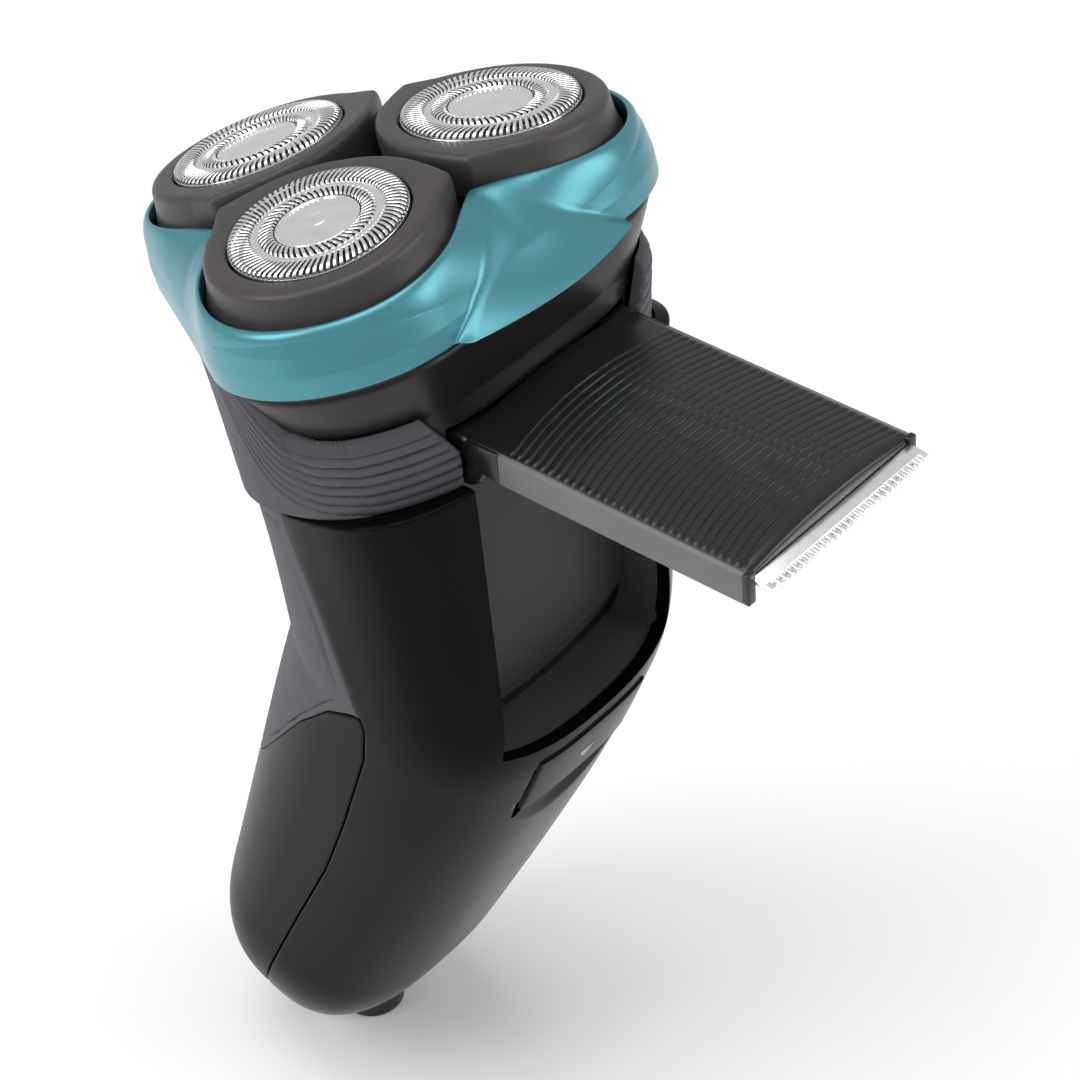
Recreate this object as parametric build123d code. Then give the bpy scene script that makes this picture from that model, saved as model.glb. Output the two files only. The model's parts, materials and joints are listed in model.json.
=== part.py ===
from build123d import *
import math
import os

# Three-head rotary shaver. All sizes in mm, +Z up.
# Origin: centre of the charging socket's mouth, at the bottom of the handle.
# +Y points to the back of the handle (the trimmer side), -Y to the button side.

# --- shaving head -----------------------------------------------------------
HEAD_CENTRE = (0.0, 17.5, 169.5)   # middle of the three foils
HEAD_TILT = 15.5                   # head leans towards the front, degrees
FOIL_ORBIT = 18.98                 # foil centre to head centre
FOIL_ANGLES = (30.0, 150.0, 270.0)
FOIL_R = 11.9
FOIL_WALL = 0.45
FOIL_FLANGE_R = 12.9
POD_LEAN = 6.92                    # each cutting unit leans outwards, degrees
POD_R = 15.5
POD_TOP = -0.3
POD_HEIGHT = 5.7
POD_FLARE = 1.4
POD_SIDE_R = 60.0
POD_GAP = 0.65
POD_TIP_R = 8.0
POD_PIVOT_Z = -8.6
POD_PIVOT_Y = 12.0
PIVOT_R = 0.8
COUPLING_DEPTH = 3.5

# --- head ring and neck -----------------------------------------------------
RING_LOW = -15.0
RING_PROFILE = ((-15.0, 18.8), (-12.0, 18.8), (-9.0, 18.4), (-6.0, 17.5), (-3.8, 15.8), (-2.4, 13.4))
LIP_SHARE = (1.0, 0.3, 0.05, 0.0, 0.0, 0.0)
LIP_REACH = 33.6
LIP_CORNER_REACH = 34.7
NECK_TOP = -15.6
NECK_R = 17.9
COLLAR_LOW = -36.0
COLLAR_TOP = -24.6
NECK_BASE_HALF_WIDTH = 30.8
NECK_BASE_CENTRE = 3.2
NECK_BASE_HALF_DEPTH = 22.6
NECK_WALL = 1.6
CUP_INSET = 2.2

# --- handle -----------------------------------------------------------------
SPINE_TOP = (32.56, 145.5)         # y, z where the straight upper spine starts
BEND_AT = 46.3                     # distance down the spine to the bend
BEND_HALF = 1.7
BEND_TILT = 24.1                   # lower handle leans forward, degrees
HANDLE_LENGTH = 145.8
DOME_LENGTH = 26.0
DOME_POWER = 2.4
# distance down the spine, half width, depth to the front, depth to the back
HANDLE_SIZES = (
    (-12.0, 34.6, 25.8, 18.2),
    (0.0, 32.5, 25.1, 19.2),
    (22.0, 28.7, 23.9, 20.8),
    (45.0, 26.3, 23.4, 22.3),
    (68.0, 24.6, 22.4, 22.4),
    (92.0, 23.0, 20.7, 21.2),
    (116.0, 21.9, 18.7, 19.4),
    (146.0, 21.5, 16.2, 16.7),
)
HANDLE_STATIONS = (-12.0, 0.0, 14.0, 28.0, 40.0, 46.3, 53.0, 66.0, 82.0, 98.0, 111.0, 119.8)
DOME_STATIONS = (0.3, 0.52, 0.7, 0.84, 0.93, 0.985)
FRONT_POWER = 2.3
BACK_POWER = 2.9
WALL = 2.2
RUBBER = 1.2

# --- trimmer ----------------------------------------------------------------
HINGE_Y = 48.0
HINGE_Z = 144.5
TRIMMER_HALF = 17.0
TRIMMER_TOP = 148.55
TRIMMER_LOW = 143.5
TRIMMER_END = 95.25
HINGE_REACH = 4.0
HINGE_FLAT = 2.4
HINGE_PIN_R = 1.0
BAY_HALF = 17.6
BAY_FLOOR = 44.0
BAY_LOW = 94.4
BAY_DIP = 2.4
BAY_WALL = 1.2

# --- drive ------------------------------------------------------------------
PINION_TEETH = 15
GEAR_TEETH = 24
PRESSURE_ANGLE = 20.0
BACKLASH = 0.24
GEAR_LOW = -19.2
GEAR_HIGH = -17.2
SPINDLE_R = 1.5
SPINDLE_TOP = -7.4
SPINDLE_TIP_R = 1.1
SPINDLE_TIP_LENGTH = 3.3
JOURNAL_R = 1.2
RUNNING = 0.06
DECK_CORNER_R = 14.8
CASE_CORNER_R = 11.2
POST_ORBIT = 19.0
MOTOR_R = 9.0
MOTOR_TOP = -27.0
MOTOR_LOW = -53.0
SHAFT_R = 1.0

# --- controls and power -----------------------------------------------------
BUTTON_R = 6.2
BUTTON_Z = 107.5
BUTTON_FACE_Y = 9.1
PANEL_HALF = 10.5
PANEL_TOP = 126.0
PANEL_LOW = 56.0
PANEL_BACK_Y = 14.0
LENS_Z = 90.0
CELL_R = 8.8
CELL_LENGTH = 48.0
CELL_TOP_AT = 63.0
BOSS_R = 5.0
SOCKET_R = 2.0
SOCKET_DEPTH = 8.0
CONTACT_ORBIT = 1.0
CONTACT_R = 0.45
CONTACT_RECESS = 0.3
CONTACT_TOP = 10.0
SLIDER_AT = 54.0
SLIDER_HALF = 11.4
SLIDER_HALF_HEIGHT = 5.6
SLIDER_TRAVEL = 2.0

HEAD = Location(HEAD_CENTRE, (HEAD_TILT, 0, 0))
GEAR_ORBIT = FOIL_ORBIT - COUPLING_DEPTH * math.sin(math.radians(POD_LEAN))
MODULE = 2 * GEAR_ORBIT / (PINION_TEETH + GEAR_TEETH)


def pod_place(angle):
    """Frame of one cutting unit: x outwards, z along its own face normal."""
    return HEAD * Location((0, 0, 0), (0, 0, angle)) * Location((FOIL_ORBIT, 0, 0), (0, POD_LEAN, 0))


def box(x0, x1, y0, y1, z0, z1):
    size = Box(x1 - x0, y1 - y0, z1 - z0)
    return Pos((x0 + x1) / 2, (y0 + y1) / 2, (z0 + z1) / 2) * size


def disc(radius, z0, z1):
    return Pos(0, 0, (z0 + z1) / 2) * Cylinder(radius, z1 - z0)


def slab(sketch, z0, z1):
    """A flat outline in the XY plane made into a plate from z0 to z1."""
    return Pos(0, 0, z0) * extrude(sketch, z1 - z0)


def side_prism(points, half_width):
    """A closed outline in the YZ plane made into a block across X."""
    line = Polyline(*[(0, y, z) for y, z in points], close=True)
    return extrude(make_face(line), half_width, dir=(1, 0, 0), both=True)


def closed_wire(points):
    return Wire([Edge.make_spline([Vector(*p) for p in points], periodic=True)])


# ----------------------------------------------------------------------------
# Handle surface: superellipse sections along a spine with one bend
# ----------------------------------------------------------------------------
def blend(rows, at, column):
    for low, high in zip(rows, rows[1:]):
        if at <= high[0]:
            share = (at - low[0]) / (high[0] - low[0])
            return low[column] + share * (high[column] - low[column])
    return rows[-1][column]


def bend_angle(at):
    share = min(max((at - BEND_AT + BEND_HALF) / (2 * BEND_HALF), 0.0), 1.0)
    return math.radians(BEND_TILT) * share


def spine_point(at):
    """Point on the spine and the lean of the handle there."""
    straight = min(at, BEND_AT)
    beyond = max(at - BEND_AT, 0.0)
    lean = math.radians(BEND_TILT)
    y = SPINE_TOP[0] - beyond * math.sin(lean)
    z = SPINE_TOP[1] - straight - beyond * math.cos(lean)
    return y, z, bend_angle(at)


def spine_place(at):
    """Frame on the spine: y to the back of the handle, z up along it."""
    y, z, lean = spine_point(at)
    return Location((0, y, z), (-math.degrees(lean), 0, 0))


def dome_factor(share):
    return (1 - share ** DOME_POWER) ** (1 / DOME_POWER)


def power_point(angle, power):
    c, s = math.cos(angle), math.sin(angle)
    across = math.copysign(abs(c) ** (2 / power), c)
    along = math.copysign(abs(s) ** (2 / power), s)
    return across, along


def handle_section(at, factor, inset, count=24):
    y, z, lean = spine_point(at)
    half = blend(HANDLE_SIZES, at, 1) * factor - inset
    front = blend(HANDLE_SIZES, at, 2) * factor - inset
    back = blend(HANDLE_SIZES, at, 3) * factor - inset
    points = []
    for i in range(count):
        angle = 2 * math.pi * i / count
        power = BACK_POWER if math.sin(angle) > 0 else FRONT_POWER
        across, along = power_point(angle, power)
        depth = along * (back if along > 0 else front)
        points.append((half * across, y + depth * math.cos(lean), z - depth * math.sin(lean)))
    return closed_wire(points)


def handle_solid(inset):
    """The handle's outer shape, shrunk by inset on every side."""
    wires = [handle_section(at, 1.0, inset) for at in HANDLE_STATIONS]
    dome_start = HANDLE_LENGTH - DOME_LENGTH
    last_half_depth = 3.0
    for share in DOME_STATIONS:
        at = dome_start + share * (DOME_LENGTH - inset)
        if blend(HANDLE_SIZES, at, 2) * dome_factor(share) - inset > last_half_depth:
            wires.append(handle_section(at, dome_factor(share), inset))
    return Solid.make_loft(wires)


def seam_line():
    """Side view of the joint between the front and the back of the handle."""
    return ((28.2, 134.8), (28.7, 126.5), (30.2, 117.7), (31.9, 105.5), (33.8, 96.5), (32.4, 90.1),
            (25.1, 72.5), (18.8, 58.8), (10.6, 43.8), (-1.2, 21.3), (-9.0, 6.0))


def back_region():
    outline = ((26.0, 170.0),) + seam_line() + ((-9.0, -10.0), (90.0, -10.0), (90.0, 170.0))
    return side_prism(outline, 60)


def grip_region():
    """Side view of the rubber: in front of the seam, above a swept lower edge."""
    outline = ((28.2, 150.0), (28.2, 134.8), (28.7, 126.5), (30.2, 117.7), (31.9, 105.5), (32.6, 100.5),
               (30.6, 97.9), (26.5, 95.9), (18.9, 88.7), (4.5, 71.6), (-4.0, 62.5), (-40.0, 62.5),
               (-40.0, 150.0))
    return side_prism(outline, 60)


def below_collar(gap=0.0):
    return HEAD * box(-80, 80, -80, 80, COLLAR_LOW - 240, COLLAR_LOW - gap)


def panel_region(grow=0.0):
    """Stadium-shaped strip on the front of the handle."""
    half = PANEL_HALF + grow
    middle = (PANEL_TOP + PANEL_LOW) / 2
    length = PANEL_TOP - PANEL_LOW + 2 * grow
    outline = Plane.XZ * Pos(0, middle) * SlotOverall(length, 2 * half, rotation=90)
    return Pos(0, PANEL_BACK_Y, 0) * extrude(outline, 60)


def bay_outline(grow=0.0):
    half = BAY_HALF + grow
    low = BAY_LOW - grow
    top = HINGE_Z + 12
    with BuildSketch(Plane.XZ) as outline:
        with BuildLine():
            Polyline((-half, low), (-half, top), (half, top), (half, low))
            ThreePointArc((half, low), (0, low - BAY_DIP), (-half, low))
        make_face()
    return outline.sketch


def bay_space(grow=0.0):
    """Pocket in the back of the handle that the trimmer folds into."""
    block = Pos(0, BAY_FLOOR + 30 - grow, 0) * extrude(bay_outline(grow), 30)
    ceiling = box(-40, 40, 0, 120, TRIMMER_TOP + 0.45, 200)
    return block - ceiling


def hinge_space():
    """Round clearance for the trimmer's hinge end."""
    tube = Pos(0, HINGE_Y, HINGE_Z) * Rot(0, 90, 0) * Cylinder(HINGE_REACH + 0.5, 2 * BAY_HALF)
    return tube


def slider_pocket():
    low = -SLIDER_HALF_HEIGHT - SLIDER_TRAVEL - 0.4
    high = SLIDER_HALF_HEIGHT + 0.4
    return spine_place(SLIDER_AT) * box(-SLIDER_HALF - 0.4, SLIDER_HALF + 0.4, 15, 30, low, high)


# ----------------------------------------------------------------------------
# Neck and head outlines: rounded triangles round the three foils
# ----------------------------------------------------------------------------
def triangle_radius(angle, corner_r):
    """Distance from the middle to a rounded triangle, in a direction in degrees."""
    off_lobe = (angle - 30.0) % 120.0
    off_lobe = math.radians(min(off_lobe, 120.0 - off_lobe))
    off_flat = math.radians(60.0) - off_lobe
    flat = FOIL_ORBIT / 2 + corner_r
    flat_end = math.atan2(FOIL_ORBIT * math.sin(math.radians(60)), flat)
    if off_flat < flat_end:
        return flat / math.cos(off_flat)
    reach = FOIL_ORBIT * math.cos(off_lobe)
    return reach + math.sqrt(corner_r ** 2 - (FOIL_ORBIT * math.sin(off_lobe)) ** 2)


def lip_radius(angle):
    return LIP_REACH + (LIP_CORNER_REACH - LIP_REACH) * ((angle - 90.0) / 30.0) ** 2


def lip_weight(angle):
    off = abs(angle - 90.0)
    share = min(max((36.0 - off) / 8.0, 0.0), 1.0)
    return share * share * (3 - 2 * share)


def ring_wire(z, corner_r, lip_share, count=72):
    points = []
    for i in range(count):
        angle = 360.0 * i / count
        radius = triangle_radius(angle, corner_r)
        weight = lip_weight(angle) * lip_share
        radius += weight * max(lip_radius(angle) - radius, 0.0)
        turn = math.radians(angle)
        points.append((radius * math.cos(turn), radius * math.sin(turn), z))
    return closed_wire(points)


def base_point(turn, inset):
    """Superellipse where the neck meets the handle, cut at the head's tilt."""
    across, along = power_point(turn, 2.35)
    x = (NECK_BASE_HALF_WIDTH - inset) * across
    y = NECK_BASE_CENTRE + (NECK_BASE_HALF_DEPTH - inset) * along
    return x, y


def neck_wire(z, inset, count=48):
    share = (NECK_TOP - z) / (NECK_TOP - COLLAR_LOW)
    points = []
    for i in range(count):
        turn = 2 * math.pi * i / count
        bx, by = base_point(turn, inset)
        toward = math.atan2(by - NECK_BASE_CENTRE, bx)
        radius = triangle_radius(math.degrees(toward) % 360.0, NECK_R - inset)
        tx, ty = radius * math.cos(toward), radius * math.sin(toward)
        points.append((tx + share * (bx - tx), ty + share * (by - ty), z))
    return closed_wire(points)


def neck_solid(inset_top, inset_low, z_top, z_low):
    middle = (z_top + z_low) / 2
    wires = [neck_wire(z_low, inset_low),
             neck_wire(middle, (inset_top + inset_low) / 2),
             neck_wire(z_top, inset_top)]
    return HEAD * Solid.make_loft(wires)


def cup_window():
    """Side view, in the head's frame, of where the dark cup shows at the back."""
    outline = ((6.4, -10.0), (6.7, -16.4), (8.2, -19.6), (9.6, -22.2), (13.0, -23.6), (18.0, COLLAR_TOP),
               (60.0, COLLAR_TOP), (60.0, -10.0))
    return HEAD * side_prism(outline, 60)


def triangle_plate(corner_r, z0, z1):
    corners = [(FOIL_ORBIT * math.cos(math.radians(a)), FOIL_ORBIT * math.sin(math.radians(a)))
               for a in FOIL_ANGLES]
    core = make_face(Polyline(*corners, close=True))
    return slab(offset(core, corner_r, kind=Kind.ARC), z0, z1)


# ----------------------------------------------------------------------------
# Cutting units
# ----------------------------------------------------------------------------
def pod_outline(grow=0.0):
    """Shield shape: round outside, two bowed sides meeting at a blunt inner tip."""
    side = math.radians(150)
    bow = FOIL_ORBIT * math.sin(math.radians(60)) - POD_GAP - POD_SIDE_R
    outer = Circle(POD_R + grow) + Pos(-8, 0) * Rectangle(16, 2 * (POD_R + grow))
    outer += Pos(-16, 0) * Circle(POD_R + grow)
    shape = outer
    for sign in (1, -1):
        centre = (bow * math.cos(side), sign * bow * math.sin(side))
        shape = shape & (Pos(*centre) * Circle(POD_SIDE_R + grow))
    corners = shape.vertices().filter_by(lambda v: v.X < -4)
    return fillet(corners, POD_TIP_R)


def pod_round(radius):
    """The outside of the shield alone: a half circle with long straight sides."""
    return Circle(radius) + Pos(-8, 0) * Rectangle(16, 2 * radius) + Pos(-16, 0) * Circle(radius)


def pod_block(grow, z_top, z_low, flare):
    """Housing block that flares downwards on its round side only; its bowed sides stay upright
    in the head, so that neighbours keep an even gap."""
    top = Pos(0, 0, z_top) * pod_round(POD_R + grow)
    low = Pos(0, 0, z_low) * pod_round(POD_R + grow + flare)
    body = loft([top.face(), low.face()])
    side = math.radians(150)
    bow = FOIL_ORBIT * math.sin(math.radians(60)) - POD_GAP - POD_SIDE_R
    centres = [(bow * math.cos(side), sign * bow * math.sin(side)) for sign in (1, -1)]
    lens = (Pos(*centres[0]) * Circle(POD_SIDE_R + grow)) & (Pos(*centres[1]) * Circle(POD_SIDE_R + grow))
    lens = fillet(lens.vertices().filter_by(lambda v: v.X < -4), POD_TIP_R)
    return body & (Rot(0, -POD_LEAN, 0) * slab(lens, -20, 6))


def make_pod():
    """Cutting-unit housing with its two pivot lugs."""
    low = POD_TOP - POD_HEIGHT
    body = pod_block(0.0, POD_TOP, low, POD_FLARE)
    body -= pod_block(-1.4, POD_TOP - 1.6, low - 0.1, POD_FLARE)
    body -= disc(FOIL_R + 0.35, POD_TOP - 3, POD_TOP + 1)
    for sign in (1, -1):
        y = sign * POD_PIVOT_Y
        lug = box(-2.0, 2.0, y - 0.7, y + 0.7, POD_PIVOT_Z - 1.8, low + 0.9)
        reach = box(-2.0, 2.0, min(y, sign * 16.0), max(y, sign * 16.0), low + 0.1, low + 0.9)
        pin = Pos(0, sign * (POD_PIVOT_Y + 0.9), POD_PIVOT_Z) * Rot(90, 0, 0) * Cylinder(PIVOT_R, 3.2)
        body += lug + reach + pin
    return body


def ring_of_profile(points):
    """Solid of revolution from a closed outline of radius and height."""
    line = Polyline(*[(r, 0, z) for r, z in points], close=True)
    return revolve(make_face(line), Axis.Z)


def make_foil():
    """Round metal foil: two raised cutting tracks with a groove between them."""
    inside = FOIL_R - FOIL_WALL
    outline = ((FOIL_FLANGE_R, -2.9), (FOIL_FLANGE_R, -2.5), (FOIL_R, -2.5), (FOIL_R, 0.1), (11.5, 0.5),
               (8.8, 0.5), (8.3, 0.2), (7.9, 0.2), (7.5, 0.5), (5.9, 0.5), (5.6, 0.1), (5.1, 0.1),
               (5.1, -0.3), (6.2, -0.3), (6.2, 0.1), (7.2, 0.1), (7.5, -0.2), (8.8, -0.2), (9.1, 0.1),
               (11.2, 0.1), (inside, -0.2), (inside, -2.9))
    return ring_of_profile(outline)


def make_foil_cap():
    outline = ((0, -0.6), (5.05, -0.6), (5.05, 0.0), (4.6, 0.15), (1.4, 0.15), (1.2, 0.25), (0, 0.25))
    return ring_of_profile(outline)


def make_cutter():
    """Rotary cutter: hub with a hexagon socket, disc and two rows of blades."""
    body = disc(10.6, -2.6, -1.9) + disc(3.4, -5.6, -1.9)
    socket = Pos(0, 0, -5.7) * extrude(RegularPolygon(1.7, 6, major_radius=False), 3.0)
    body -= socket
    blades = 9
    for i in range(blades):
        turn = 360.0 * i / blades
        outer = box(9.3, 10.5, -0.25, 0.25, -2.0, -0.5)
        inner = box(6.5, 7.2, -0.25, 0.25, -2.0, -0.5)
        body += Rot(0, 0, turn) * (outer + inner)
    return body


# ----------------------------------------------------------------------------
# Head body
# ----------------------------------------------------------------------------
def make_head_ring():
    """Coloured ring round the cutting units, with a thumb lip at the back."""
    wires = [ring_wire(z, r, lip) for (z, r), lip in zip(RING_PROFILE, LIP_SHARE)]
    body = Solid.make_loft(wires)
    body -= triangle_plate(17.3, RING_LOW - 1, -8.0)
    body -= disc(19.9, -9, 1)
    for angle in FOIL_ANGLES:
        hole = slab(pod_outline(2.1), -9, 3)
        body -= Rot(0, 0, angle) * Pos(FOIL_ORBIT, 0, 0) * hole
    return HEAD * body


def make_head_frame():
    """Plate inside the ring that carries the pivots of the cutting units."""
    body = triangle_plate(17.3, RING_LOW, -13.6)
    body -= disc(2.0, -16, -10)
    for angle in FOIL_ANGLES:
        unit = Pos(GEAR_ORBIT, 0, 0) * disc(5.0, -16, -10)
        body -= Rot(0, 0, angle) * unit
    body = HEAD * body
    for angle in FOIL_ANGLES:
        for sign in (1, -1):
            y = sign * (POD_PIVOT_Y + 1.6)
            ear = box(-1.7, 1.7, y - 0.6, y + 0.6, -13.8, POD_PIVOT_Z + 1.5)
            ear -= Pos(0, y, POD_PIVOT_Z) * Rot(90, 0, 0) * Cylinder(PIVOT_R + RUNNING, 4)
            body += pod_place(angle) * ear
    return body


def involute_point(base_r, radius, start):
    ratio = max(radius / base_r, 1.0)
    roll = math.sqrt(ratio ** 2 - 1)
    return start + roll - math.atan(roll)


def gear_outline(teeth):
    """Involute spur gear outline with backlash."""
    pitch_r = MODULE * teeth / 2
    base_r = pitch_r * math.cos(math.radians(PRESSURE_ANGLE))
    tip_r = pitch_r + 0.85 * MODULE
    root_r = pitch_r - 1.15 * MODULE
    half_tooth = math.pi / (2 * teeth) - BACKLASH / (2 * pitch_r)
    start = half_tooth + involute_point(base_r, pitch_r, 0.0)
    foot_r = max(base_r, root_r + 0.05)
    radii = [foot_r + (tip_r - foot_r) * k / 3 for k in range(4)]
    points = []
    for i in range(teeth):
        middle = 2 * math.pi * i / teeth
        sides = [(r, start - involute_point(base_r, r, 0.0)) for r in radii]
        rising = [(root_r, -start)] + [(r, -a) for r, a in sides]
        falling = [(r, a) for r, a in reversed(sides)] + [(root_r, start)]
        for r, a in rising + falling:
            points.append((r * math.cos(middle + a), r * math.sin(middle + a)))
    return make_face(Polyline(*points, close=True))


def make_pinion():
    body = slab(gear_outline(PINION_TEETH), GEAR_LOW, GEAR_HIGH) - disc(SHAFT_R, -30, -10)
    return HEAD * body


def make_rotor_shaft():
    return HEAD * disc(SHAFT_R, MOTOR_LOW - 1.5, GEAR_HIGH + 0.2)


def make_drive_gear(angle):
    """Driven gear with the spindle that turns one cutter."""
    tooth_step = 360.0 / PINION_TEETH
    offset = (angle % tooth_step) / tooth_step
    mesh_turn = 180.0 + (0.5 + offset) * 360.0 / GEAR_TEETH
    body = Rot(0, 0, mesh_turn) * slab(gear_outline(GEAR_TEETH), GEAR_LOW, GEAR_HIGH)
    body += disc(JOURNAL_R, GEAR_LOW - 1.6, GEAR_LOW)
    body += disc(SPINDLE_R, GEAR_HIGH, SPINDLE_TOP)
    tip = extrude(RegularPolygon(SPINDLE_TIP_R, 6, major_radius=False), SPINDLE_TIP_LENGTH + 0.1)
    body += Pos(0, 0, SPINDLE_TOP - 0.1) * tip
    return HEAD * Rot(0, 0, angle) * Pos(GEAR_ORBIT, 0, 0) * body


def make_gear_deck():
    """Deck closing the top of the neck, with a bearing for each spindle."""
    body = triangle_plate(DECK_CORNER_R, -16.9, NECK_TOP)
    for angle in FOIL_ANGLES:
        bearing = Pos(GEAR_ORBIT, 0, 0) * disc(SPINDLE_R + RUNNING, -20, -10)
        body -= Rot(0, 0, angle) * bearing
    return HEAD * body


def make_gear_case():
    """Plate under the gears that carries the spindles and the motor."""
    body = triangle_plate(CASE_CORNER_R, -20.9, -19.5)
    body += disc(MOTOR_R + 1.6, MOTOR_TOP - 2.0, -20.9)
    body -= disc(MOTOR_R, MOTOR_TOP - 3.0, MOTOR_TOP)
    body -= disc(3.0, -30, -19)
    for angle in FOIL_ANGLES:
        bearing = Pos(GEAR_ORBIT, 0, 0) * disc(JOURNAL_R + RUNNING, -22, -10)
        body -= Rot(0, 0, angle) * bearing
        post = Pos(POST_ORBIT, 0, 0) * disc(1.4, -19.5, -16.9)
        body += Rot(0, 0, angle + 60) * post
    return HEAD * body


def make_motor_can():
    body = disc(MOTOR_R, MOTOR_LOW + 3.0, MOTOR_TOP) + disc(2.6, MOTOR_TOP, MOTOR_TOP + 1.2)
    body -= disc(SHAFT_R + RUNNING, -60, -20)
    body -= disc(MOTOR_R - 0.8, MOTOR_LOW + 3.0, MOTOR_TOP - 1.0)
    return HEAD * body


def make_motor_cap():
    body = disc(MOTOR_R, MOTOR_LOW + 0.4, MOTOR_LOW + 3.0) + disc(2.4, MOTOR_LOW - 1.6, MOTOR_LOW + 0.4)
    body -= disc(SHAFT_R + RUNNING, -60, -20)
    return HEAD * body


# ----------------------------------------------------------------------------
# Handle parts
# ----------------------------------------------------------------------------
def make_back_shell(skin, boss_hole):
    body = skin & back_region()
    body -= bay_space(BAY_WALL)
    pocket = slider_pocket() - handle_solid(1.5)
    return body - pocket - boss_hole


def make_front_shell(skin, grip_core, boss_hole):
    body = skin - back_region() - boss_hole - panel_region()
    rubber_zone = grip_region() - grip_core
    return body - rubber_zone


def make_side_grip(skin, grip_core):
    body = (skin - grip_core) & grip_region()
    return body - back_region() - panel_region()


def make_front_panel(skin):
    button_hole = Pos(0, PANEL_BACK_Y, BUTTON_Z) * Rot(90, 0, 0) * Cylinder(BUTTON_R + 0.25, 40)
    body = (panel_region() & skin) - lens_space() - button_hole
    return body.solids()[0].fix()


def lens_space():
    slot = Plane.XZ * Pos(0, LENS_Z) * SlotOverall(9.0, 1.8)
    return Pos(0, PANEL_BACK_Y, 0) * extrude(slot, 50)


def make_indicator(skin):
    return skin & lens_space()


def make_grip_collar():
    """Ribbed rubber collar; it climbs to the head ring at the front."""
    body = neck_solid(0.0, 0.0, NECK_TOP, COLLAR_LOW) - neck_solid(NECK_WALL, NECK_WALL, NECK_TOP + 1, COLLAR_LOW - 1)
    body -= cup_window()
    return body - bay_space(BAY_WALL) - hinge_space() - trimmer_notch()


def make_neck_cup():
    """Dark cup under the ring, stepping in where it meets the rubber."""
    body = neck_solid(0.0, CUP_INSET, NECK_TOP, COLLAR_TOP)
    body -= neck_solid(NECK_WALL, CUP_INSET + NECK_WALL, NECK_TOP + 1, COLLAR_TOP - 1)
    body = body & cup_window()
    return body - bay_space(0.0) - hinge_space() - trimmer_notch()


def trimmer_notch():
    """Gap at the top of the bay that the open trimmer passes through."""
    return box(-BAY_HALF, BAY_HALF, HINGE_Y, 80, TRIMMER_LOW - 0.6, TRIMMER_TOP + 0.45)


def make_trimmer_bay(outer, neck):
    """Tub set into the back of the handle, with the trimmer's hinge ears."""
    shape = (outer & below_collar()) + neck
    tub = shape & (bay_space(BAY_WALL) - bay_space(0.0))
    tub -= hinge_space()
    tub -= trimmer_notch()
    keep = box(-40, 40, BAY_FLOOR - BAY_WALL - 0.2, 90, 80, HINGE_Z + 2.5)
    tub = tub & keep
    for sign in (1, -1):
        x = sign * 9.0
        ear = box(x - 1.5, x + 1.5, BAY_FLOOR - 0.6, HINGE_Y + 1.8, HINGE_Z - 2.2, HINGE_Z + 2.2)
        ear -= Pos(0, HINGE_Y, HINGE_Z) * Rot(0, 90, 0) * Cylinder(HINGE_PIN_R, 60)
        tub += ear
    return tub


def make_hinge_pin():
    return Pos(0, HINGE_Y, HINGE_Z) * Rot(0, 90, 0) * Cylinder(HINGE_PIN_R, 26.0)


def make_boss():
    body = disc(BOSS_R, 0, 12.0)
    body = fillet(body.edges().filter_by(GeomType.CIRCLE).sort_by(Axis.Z)[0], 0.7)
    body -= disc(SOCKET_R, -1, SOCKET_DEPTH)
    for sign in (1, -1):
        body -= Pos(sign * CONTACT_ORBIT, 0, 0) * disc(CONTACT_R, SOCKET_DEPTH - 0.1, CONTACT_TOP)
    return body


def make_contacts():
    """Two contact pins recessed behind the end of the socket."""
    low = SOCKET_DEPTH + CONTACT_RECESS
    pins = [Pos(sign * CONTACT_ORBIT, 0, 0) * disc(CONTACT_R, low, CONTACT_TOP) for sign in (1, -1)]
    return pins[0] + pins[1]


def make_cell():
    top = CELL_TOP_AT
    body = spine_place(top) * (disc(CELL_R, -CELL_LENGTH, 0) + disc(2.8, 0, 1.0))
    return body


def make_cell_cradle():
    """Saddles and a rail that hold the cell and the circuit board."""
    rail = box(-3.0, 3.0, -CELL_R - 2.0, -CELL_R, -CELL_LENGTH, 2.0)
    body = rail
    for low in (-9.0, -CELL_LENGTH + 4.0):
        body += disc(CELL_R + 1.4, low, low + 5.0)
    body -= disc(CELL_R, -CELL_LENGTH - 1, 3)
    return spine_place(CELL_TOP_AT) * body


def make_board():
    return box(-9.5, 9.5, 13.6, 14.8, 88.5, 114.5)


def make_switch():
    body = box(-3.0, 3.0, 12.4, 13.6, BUTTON_Z - 3, BUTTON_Z + 3)
    return body + Pos(0, 12.1, BUTTON_Z) * Rot(90, 0, 0) * Cylinder(1.5, 0.6)


def make_button():
    """Round power button with a shallow dish."""
    core = Pos(0, BUTTON_FACE_Y + 0.9, BUTTON_Z) * Rot(90, 0, 0) * Cylinder(BUTTON_R, 1.8)
    core = fillet(core.edges().filter_by(GeomType.CIRCLE).sort_by(Axis.Y)[0], 0.5)
    dish_r = 30.0
    return core - Pos(0, BUTTON_FACE_Y - dish_r + 0.5, BUTTON_Z) * Sphere(dish_r)


def make_slider():
    """Trimmer release: a curved plate flush in the back of the handle."""
    block = box(-SLIDER_HALF, SLIDER_HALF, 15, 30, -SLIDER_HALF_HEIGHT, SLIDER_HALF_HEIGHT)
    plate = (spine_place(SLIDER_AT) * block) & handle_solid(-0.35)
    return plate - handle_solid(1.05)


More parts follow.
